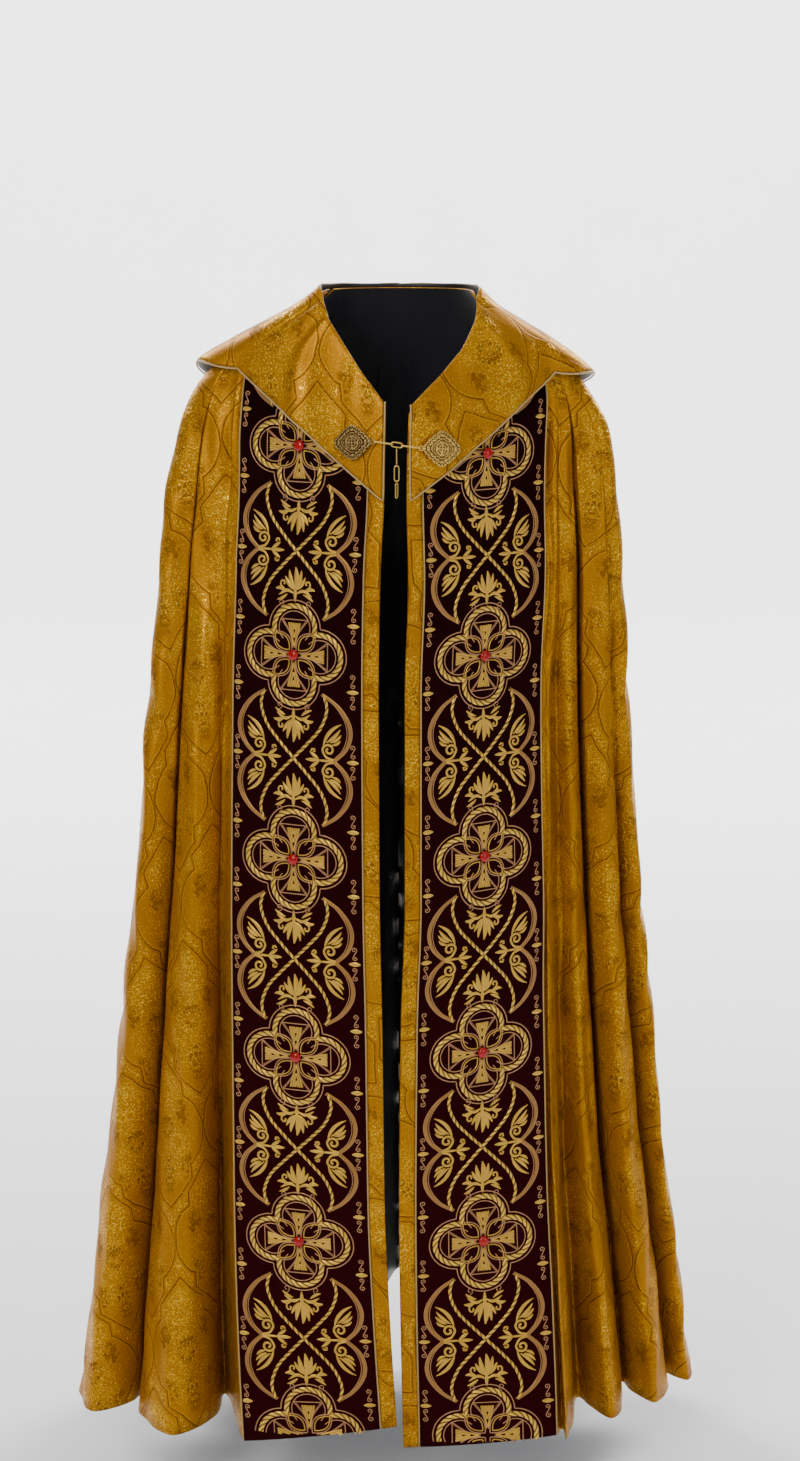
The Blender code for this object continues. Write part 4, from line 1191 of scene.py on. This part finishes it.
PROFILES = {  # across a stitch: share of its half-width, and share of its height
    "rope": ((-1, 0), (-0.72, 0.72), (0, 1), (0.72, 0.72), (1, 0)),
    "satin": ((-1, 0), (-0.45, 0.85), (0.45, 0.85), (1, 0)),
    "braid": ((-1, 0), (-0.6, 0.8), (0.6, 0.8), (1, 0)),
    "outline": ((-1, 0), (0, 1), (1, 0)),
}
STITCH_HEIGHT = {"rope": 0.0013, "satin": 0.0009, "braid": 0.0008, "outline": 0.0006}
HEM_CLEAR = 0.0016


def stitch(line, run, z, kind, width, tapers):
    """(out from the band's middle, level, rise) of a stitch's points, and their UVs."""
    way = unit(np.gradient(np.stack((line[:, 0], -line[:, 1]), 1), axis=0))
    across = np.stack((-way[:, 1], way[:, 0]), 1)
    t = np.linspace(0, 1, len(line))
    swell = np.sin(np.pi * np.clip(t, 0.04, 0.96)) ** 0.7 if tapers else np.ones(len(t))
    rows = np.array(PROFILES[kind])
    offset = rows[None, :, 0] * (width / 2) * swell[:, None]
    out = line[:, None, 0] * MOTIF_WIDEN + across[:, None, 0] * offset
    level = z[:, None] + across[:, None, 1] * offset
    rise = rows[None, :, 1] * STITCH_HEIGHT[kind] * (0.35 + 0.65 * swell[:, None])
    return np.stack((out, level, rise), -1).reshape(-1, 3), np.stack((run[:, None] + 0 * offset, offset), -1)


def add_embroidery(side):
    levels = JEWEL_LEVELS[side]
    levels = [levels[0] + REPEAT, *levels, levels[-1] - REPEAT]
    knot, crossing = band_pattern()
    middle = (BAND_START + BAND_END) / 2 + JEWEL_SHIFT[side]
    found = {kind: ([], [], [], [0]) for kind in PROFILES}
    bottom = float(HALVES[side].bottom(np.array([-0.5]))[0])
    reach = np.linspace(BAND_START, BAND_END, 40)
    edge_of_band = HALVES[side].grid(reach / PANEL_REACH - 1, [COVERED_SHARE])[:, 0, 2]
    for high, low in zip(levels, levels[1:]):
        stretch = (high - low) / REPEAT
        placed_strokes = [((high + low) / 2, stroke) for stroke in crossing] + [(low, stroke) for stroke in knot]
        for centre, (kind, line, width, tapers) in placed_strokes:
            line, run = resampled(np.asarray(line, float))
            z = centre - line[:, 1] * stretch
            under_collar = np.interp(middle + line[:, 0] * MOTIF_WIDEN * MIRROR[side], reach, edge_of_band)
            keep = (z > bottom + HEM_CLEAR) & (z < under_collar)
            if keep.sum() < 2:
                continue
            made, flat = stitch(line[keep], run[keep], z[keep], kind, width, tapers)
            points, uv, faces, count = found[kind]
            points.append(made * (MIRROR[side], 1, 1) + (middle, 0, 0))
            uv.append(flat.reshape(-1, 2))
            faces.append(quads(int(keep.sum()), len(PROFILES[kind])) + count[0])
            count[0] += len(made)
    for kind, (points, uv, faces, _) in found.items():
        flat = np.concatenate(points)
        distance = np.clip(flat[:, 0], BAND_START + 0.001, BAND_END - 0.001)
        level = np.maximum(flat[:, 1], bottom + HEM_CLEAR / 2)
        here, normal = base_frame(side, distance / PANEL_REACH, level)
        on_band = here + normal * (BAND_OUTER + flat[:, 2, None])
        name = f"embroidery_{side}_{kind}"
        turn_outwards(add_mesh(name, on_band, np.concatenate(faces), kind, np.concatenate(uv)), normal)


def turn_outwards(made, normals):
    """Flips a mesh of which most faces look into the cloth."""
    mesh = made.data
    facing = np.empty(len(mesh.polygons) * 3)
    mesh.polygons.foreach_get("normal", facing)
    first = np.array([polygon.vertices[0] for polygon in mesh.polygons])
    if ((facing.reshape(-1, 3) * normals[first]).sum(1) < 0).mean() > 0.5:
        mesh.flip_normals()


for side in SIDES:
    add_embroidery(side)

# ---- the collar

COLLAR_COLUMNS = 150  # a side
COLLAR_GRID_ROWS = 30
CORD_SIDES = 10
COLLAR_RIDGES = {  # where along the table and across the collar, from and to, with half-width and height
    "left": (
        (3.1, 0.05, 2.5, 0.98, 0.20, 0.0042),
        (4.6, 0.10, 4.1, 0.85, 0.22, -0.0016),
        (1.2, 0.2, 0.9, 0.9, 0.25, 0.0012),
    ),
    "right": (
        (3.3, 0.10, 3.0, 0.95, 0.30, 0.0018),
        (4.5, 0.15, 4.2, 0.90, 0.24, -0.0014),
        (1.4, 0.1, 1.6, 0.9, 0.25, -0.0010),
    ),
}
CALM_FRONT = 1.5  # columns of the table over which ridges and waves fade to the centre front
COLLAR_WAVE = 0.0008
ROLLED_EDGE = (0.10, 0.0009)  # share of the collar's width, and depth


def neckline(side, share):
    """(q, z) of the collar's inner edge. The V in front takes COLLAR_NECK_FRONT of it."""
    lowest = NECKLINE[side][-1][0]
    z = np.minimum(0.0, lowest * (1 - share / COLLAR_NECK_FRONT))
    past = (share - COLLAR_NECK_FRONT) / (1 - COLLAR_NECK_FRONT)
    behind = 1 + SIDE_SHARE + (1 - SIDE_SHARE) * past
    return np.where(past >= 0, behind, q_at(side, neck_out(side, z), z, -1)), z


def collar_half(side):
    """Points that the collar lies over, their normals, and how far its underside stands off."""
    rows = COLLAR[side]
    whole = np.arange(len(rows))
    k = np.linspace(0, len(rows) - 1, COLLAR_COLUMNS)
    ends = [float(q_at(side, out, z, where)) for out, z, where, _, _ in rows]
    outer_q, outer_z = np.interp(k, whole, ends), np.interp(k, whole, [row[1] for row in rows])
    share = np.interp(k, whole, [row[3] for row in rows])
    lift = through(whole, [row[4] for row in rows], k)
    inner_q, inner_z = neckline(side, share)
    v = np.linspace(0, 1, COLLAR_GRID_ROWS)
    q = inner_q[:, None] + (outer_q - inner_q)[:, None] * v
    z = inner_z[:, None] + (outer_z - inner_z)[:, None] * v
    places, normals = base_frame(side, q, z)
    least = rows[0][4]
    k = k[:, None]
    lifts = least + (lift[:, None] - least) * v * v
    off_front = np.clip(k / CALM_FRONT, 0, 1) ** 2
    across = np.sin(np.pi * np.clip(v, 0.08, 0.9)) ** 0.5
    for k0, v0, k1, v1, width, height in COLLAR_RIDGES[side]:
        middle = k0 + (k1 - k0) * np.clip((v - v0) / (v1 - v0), 0, 1)
        lifts = lifts + off_front * height * np.exp(-(((k - middle) / width) ** 2)) * across
    wave = np.sin(k * 3.1 + MIRROR[side]) * np.sin(v * 5.0 + k * 0.9)
    return places, normals, (lifts + COLLAR_WAVE * wave * off_front)[..., None]


def add_collar():
    halves = (collar_half("left"), collar_half("right"))
    places, normals, lifts = (np.concatenate([a, b[-2::-1]]) for a, b in zip(*halves))
    inner = places + normals * lifts
    width, depth = ROLLED_EDGE
    rolled = np.clip(1 - np.linspace(0, 1, COLLAR_GRID_ROWS) / width, 0, 1) ** 2
    outer = inner + normals * COLLAR_THICK - normals * (depth * rolled)[None, :, None]
    below = inner - normals * GAP
    uv = cloth_uv(outer, -1)
    collar = add_wall("collar_cloth", inner, outer, "brocade", uv + (0.02, 0.11), -1)
    stand_for(collar, "collar")
    under = add_wall("collar_lining_cloth", below - normals * COLLAR_LINING_THICK, below, "lining", uv, -1)
    stand_for(under, "collar_lining")
    add_collar_piping((inner + outer) / 2, normals)


def add_collar_piping(middle, normals):
    """A cord along the collar's centre-front and outer edges."""
    def along_edge(grid, step=0):
        return np.concatenate((grid[step, :-1], grid[:, -1 - step], grid[-1 - step, -2::-1]))

    edge, normal = along_edge(middle), along_edge(normals)
    away = np.cross(unit(np.gradient(edge, axis=0)), normal)
    away = unit(away * np.sign((away * (edge - along_edge(middle, 1))).sum(1, keepdims=True)))
    reach = np.full((len(edge), 1), COLLAR_PIPING_GAP + COLLAR_PIPING / 2)
    reach[[COLLAR_GRID_ROWS - 1, COLLAR_GRID_ROWS - 2 + len(middle)]] *= math.sqrt(2)  # at the corners
    path = edge + away * reach
    rings = rings_along(path, away, normal, COLLAR_PIPING / 2, CORD_SIDES)
    count = len(path) * CORD_SIDES
    caps = [range(CORD_SIDES)[::-1], range(count - CORD_SIDES, count)]
    across = round_angles(CORD_SIDES) * COLLAR_PIPING / 2
    uv = np.stack(np.broadcast_arrays(run_of(path)[:, None], across[None]), -1).reshape(-1, 2)
    faces = ring_quads(len(path), CORD_SIDES) + caps
    made = add_solid("collar_piping_cloth", rings.reshape(-1, 3), faces, "piping", uv)
    stand_for(made, "collar_piping")


add_collar()

# ---- the clasp and the stones

WIRE_SIDES = 12
PLATE_AROUND = 224
PLATE_RINGS = 44


def ring_mesh(path):
    """Points and faces of a wire along a closed path in the XZ plane."""
    path = np.asarray(path, float)
    up = np.broadcast_to((0.0, 1.0, 0.0), path.shape)
    sideways = np.cross(up, unit(np.roll(path, -1, 0) - np.roll(path, 1, 0)))
    points = rings_along(path, sideways, up, WIRE, WIRE_SIDES).reshape(-1, 3)
    faces = [[i % len(points) for i in face] for face in ring_quads(len(path) + 1, WIRE_SIDES)]
    return points, faces


def link_path(length, width, steps=18, straight_steps=8):
    """Centre line of a link's wire, long axis along Z, as a closed path."""
    radius = width / 2 - WIRE
    straight = length / 2 - WIRE - radius
    path = []
    for end in (1, -1):
        for step in range(steps + 1):
            angle = math.pi * step / steps
            path.append((end * radius * math.cos(angle), 0, end * (straight + radius * math.sin(angle))))
        for step in range(1, straight_steps):
            path.append((-end * radius, 0, end * straight * (1 - 2 * step / straight_steps)))
    return path


def axes_frame(centre, flat, run):
    """Puts a piece's X along flat and its Z along run: (rotation as columns, centre)."""
    run = unit(run)
    flat = unit(flat - run * (flat @ run))
    return np.stack((flat, np.cross(run, flat), run), 1), centre


def placed(points, frame_of):
    turn, centre = frame_of
    return np.asarray(points) @ turn.T + centre


PLATE_NOTCHES = 0.0010
RELIEF_TOP = 0.0012


def plate_outline(width, height, angles):
    c, s = np.abs(np.cos(angles) / (width / 2)), np.abs(np.sin(angles) / (height / 2))
    reach = (c**PLATE_LOZENGE + s**PLATE_LOZENGE) ** (-1 / PLATE_LOZENGE)
    wave = PLATE_SCALLOP_DEPTH * np.abs(np.sin(angles * PLATE_SCALLOPS / 2))
    notches = PLATE_NOTCHES * np.abs(np.sin(angles * PLATE_SCALLOPS)) ** 0.7
    return reach - PLATE_SCALLOP_DEPTH + wave - PLATE_NOTCHES + notches


def ridge(value, middle, width):
    return np.exp(-(((value - middle) / width) ** 2))


def plate_relief(share, angles, x, y):
    """Height of the casting: a beaded rim, an inner frame with leaves round it, and a flowered cross."""
    height = 0.0009 * ridge(share, 0.92, 0.05) * (0.55 + 0.45 * np.cos(angles * 32))
    height += 0.0010 * ridge(share, 0.56, 0.030)
    height += 0.0012 * ridge(share, 0.735, 0.090) * np.abs(np.cos(angles * 8)) ** 0.8
    for turn in range(4):
        bud = 0.70 * np.exp(1j * (math.pi / 4 + turn * math.pi / 2))
        height += 0.0006 * ridge(np.abs(share * np.exp(1j * angles) - bud), 0, 0.07)
    short, long = np.minimum(np.abs(x), np.abs(y)), np.maximum(np.abs(x), np.abs(y))
    arm = np.exp(-((short / (0.0008 + 0.16 * long)) ** 4)) * (long < 0.0082)
    flower = ridge(np.hypot(short - 0.0018, long - 0.0078), 0, 0.0011)
    petals = ridge(np.hypot(x, y), 0.0042, 0.0010) * np.abs(np.sin(2 * angles)) ** 3
    height += 0.0012 * np.clip(arm + flower + petals, 0, 1)
    hollow = ridge(share, 0.63, 0.030) + 0.8 * ridge(share, 0.84, 0.028)
    return np.minimum(height - 0.0009 * hollow, RELIEF_TOP)


def add_plate(side, centre, across, up, facing, width, height, ring_points, ring_faces):
    angles = round_angles(PLATE_AROUND)
    share = np.linspace(0, 1, PLATE_RINGS + 1)[1:, None]
    r = share * plate_outline(width, height, angles)
    x, y = r * np.cos(angles), r * np.sin(angles)
    level = PLATE_THICK - 0.0005 + plate_relief(share + 0 * r, angles + 0 * r, x, y)
    level = np.where(share > 0.985, PLATE_THICK - 0.0010, level)
    x, y, level = (np.concatenate((a, a[-1:])) for a in (x, y, level))
    level[-1] = 0.0002
    face = centre + across * x[..., None] + up * y[..., None] + facing * level[..., None]
    middle = centre + facing * (PLATE_THICK + 0.0004)
    points = np.concatenate((middle[None], face.reshape(-1, 3), centre[None]))
    low = 1 + PLATE_RINGS * PLATE_AROUND + np.arange(PLATE_AROUND)
    faces = fan(1 + np.arange(PLATE_AROUND), 0) + fan(low[::-1], len(points) - 1)
    faces += [face[::-1] for face in ring_quads(PLATE_RINGS + 1, PLATE_AROUND, 1)]
    faces += [[i + len(points) for i in face] for face in ring_faces]
    points = np.concatenate((points, ring_points))
    made = add_solid(f"clasp_plate_{side}_cast", points, faces, f"brass_{side}")
    stand_for(made, f"clasp_plate_{side}")


def spun(v, axis, degrees):
    c, s = math.cos(math.radians(degrees)), math.sin(math.radians(degrees))
    return v * c + np.cross(axis, v) * s + axis * (axis @ v) * (1 - c)


def add_clasp():
    circle = [(RING_RADIUS * math.cos(a), 0, RING_RADIUS * math.sin(a)) for a in round_angles(40)]
    ring_points, ring_faces = ring_mesh(circle)
    rings = {}
    for side, (out, z, width, height, tilt) in PLATES.items():
        here, normal = base_frame(side, q_at(side, out, z, -1), np.array(z))
        across = unit(np.cross((0, 0, 1), normal))
        across = across if across[0] > 0 else -across
        up = unit(np.cross(across, -normal))
        across, up = spun(across, normal, tilt), spun(up, normal, tilt)
        centre = here + normal * (COLLAR[side][0][4] + COLLAR_THICK + PLATE_GAP)
        inwards = across if side == "left" else -across
        middle = centre + normal * PLATE_THICK * RING_LEVEL + inwards * (width / 2 + RING_RADIUS - RING_SUNK)
        on_plate = placed(ring_points, axes_frame(middle, across, up))
        add_plate(side, centre, across, up, normal, width, height, on_plate, ring_faces)
        rings[side] = middle + inwards * RING_RADIUS
    add_chain(rings["left"], rings["right"])


def add_link(name, centre, flat, run, length, body):
    points, faces = ring_mesh(link_path(length, LINK_WIDTH))
    made = add_solid(f"{name}_wire", placed(points, axes_frame(centre, flat, run)), faces, "wire", None, body)
    stand_for(made, name)


def add_chain(start, end):
    whole = np.linalg.norm(end - start)
    run = (end - start) / whole
    up = unit(np.array((0.0, 0.0, 1.0)) - run * run[2])
    forward = np.cross(run, up)
    inset = 2 * WIRE + LINK_PLAY
    middle_pitch = MIDDLE_LINK - 2 * WIRE
    side_pitch = (whole - middle_pitch) / 2
    side_length = side_pitch + 2 * inset + 2 * WIRE
    for name, way, first in (("chain_link_left", 1, start), ("chain_hook_right", -1, end)):
        add_link(name, first + run * way * side_pitch / 2, forward, run, side_length, "garment")
    middle = start + run * (side_pitch + middle_pitch / 2)
    add_link("chain_link_middle", middle, up, run, MIDDLE_LINK, "garment")
    pivot = middle - up * (LINK_WIDTH / 2 - WIRE)
    down = np.array((0.0, 0.0, -1.0))
    for number, turned_by in enumerate(TAIL_TURNS, 1):
        turn = math.radians(turned_by)
        flat = np.array((math.cos(turn), math.sin(turn), 0.0))
        centre = pivot + down * (inset + LINK_LENGTH / 2 - WIRE)
        add_link(f"tail_link_{number}", centre, flat, down, LINK_LENGTH, f"tail_{number}")
        pivot = centre + down * (LINK_LENGTH / 2 - WIRE)


STONE_SIDES = 36
STONE_RINGS = 12


def add_stones(side):
    """Domed stones down the middle of the band."""
    distance = (BAND_START + BAND_END) / 2 + JEWEL_SHIFT[side]
    dome = JEWEL_HEIGHT - JEWEL_GIRDLE
    profile = [(JEWEL_RADIUS * 0.97, 0.0)]
    for a in np.linspace(0, math.pi / 2, STONE_RINGS)[:-1]:
        profile.append((JEWEL_RADIUS * math.cos(a) ** 0.85, JEWEL_GIRDLE + dome * math.sin(a)))
    points = [(r * math.cos(a), r * math.sin(a), h) for r, h in profile for a in round_angles(STONE_SIDES)]
    last = len(points)
    faces = ring_quads(len(profile), STONE_SIDES) + fan(np.arange(last - STONE_SIDES, last), last)
    faces.append(range(STONE_SIDES)[::-1])
    points.append((0, 0, JEWEL_HEIGHT))
    for number, z in enumerate(JEWEL_LEVELS[side], 1):
        here, normal = base_frame(side, distance / PANEL_REACH, np.array(z))
        seat = here + normal * (BAND_OUTER + JEWEL_GAP)
        spots = placed(points, axes_frame(seat, np.array((1.0, 0, 0)), normal))
        made = add_solid(f"jewel_{side}_{number}_stone", spots, faces, "stone")
        stand_for(made, f"jewel_{side}_{number}")


add_clasp()
for side in SIDES:
    add_stones(side)

# ---- camera, floor and light

CAMERA_DOWN = 13  # degrees
FLOOR = HEM - 0.12

camera = bpy.data.objects.new("camera", bpy.data.cameras.new("camera"))
camera.location = (0.002, -3.0, 0.134)
camera.rotation_euler = (math.radians(90 - CAMERA_DOWN), 0, 0)
camera.data.lens = 58.9
camera.data.sensor_width = 36
bpy.context.scene.collection.objects.link(camera)
bpy.context.scene.camera = camera


def add_floor():
    made = Finish("pale floor", (0.86, 0.86, 0.87), 0.8)
    speckle = made.noise(made.space(), 0.3, 3.0)
    made.set(Base_Color=made.mix(speckle, (0.85, 0.85, 0.86), (0.89, 0.89, 0.90)))
    mesh = bpy.data.meshes.new("floor")
    near, bend, far, tall, wide = -9.0, 1.6, 8.0, 9.0, 10.0
    profile = [(near, 0.0), (far - bend, 0.0)]
    profile += [(far - bend + bend * math.sin(a), bend - bend * math.cos(a)) for a in np.linspace(0.1, 1.57, 12)]
    profile += [(far, tall)]
    n = len(profile)
    points = [(x, y, z + FLOOR) for x in (-wide, wide) for y, z in profile]
    mesh.from_pydata(points, [], [(i, i + n, i + n + 1, i + 1) for i in range(n - 1)])
    mesh.materials.append(made.material)
    mesh.shade_smooth()
    floor = bpy.data.objects.new("floor", mesh)
    bpy.context.scene.collection.objects.link(floor)


def add_light(name, place, target, width, height, power, colour=(1, 1, 1)):
    data = bpy.data.lights.new(name, "AREA")
    data.shape = "RECTANGLE"
    data.size, data.size_y = width, height
    data.energy = power
    data.color = colour
    made = bpy.data.objects.new(name, data)
    made.location = place
    made.rotation_mode = "QUATERNION"
    made.rotation_quaternion = (Vector(target) - Vector(place)).to_track_quat("-Z", "Y")
    bpy.context.scene.collection.objects.link(made)


add_floor()
for row in (
    ("key", (-1.5, -3.2, 1.2), (0, 0, -0.6), 1.3, 1.7, 76, (1.0, 0.985, 0.96)),
    ("fill", (2.4, -2.6, 0.2), (0, 0, -0.8), 1.6, 2.2, 22, (0.96, 0.98, 1.0)),
    ("top", (0.2, -0.4, 2.2), (0, 0, -0.3), 2.0, 1.4, 20),
    ("rim", (2.6, 1.8, 0.9), (0, 0, -0.6), 1.6, 1.8, 24),
    ("wall left", (-3.4, 3.6, 2.8), (0.3, 6.8, -1.2), 2.0, 2.6, 760),
    ("wall right", (3.4, 3.6, 2.8), (-0.3, 6.8, -1.2), 2.0, 2.6, 760),
):
    add_light(*row)
world = bpy.data.worlds.new("studio")
world.use_nodes = True
world.node_tree.nodes["Background"].inputs["Color"].default_value = (0.95, 0.96, 1.0, 1)
world.node_tree.nodes["Background"].inputs["Strength"].default_value = 0.27
bpy.context.scene.world = world
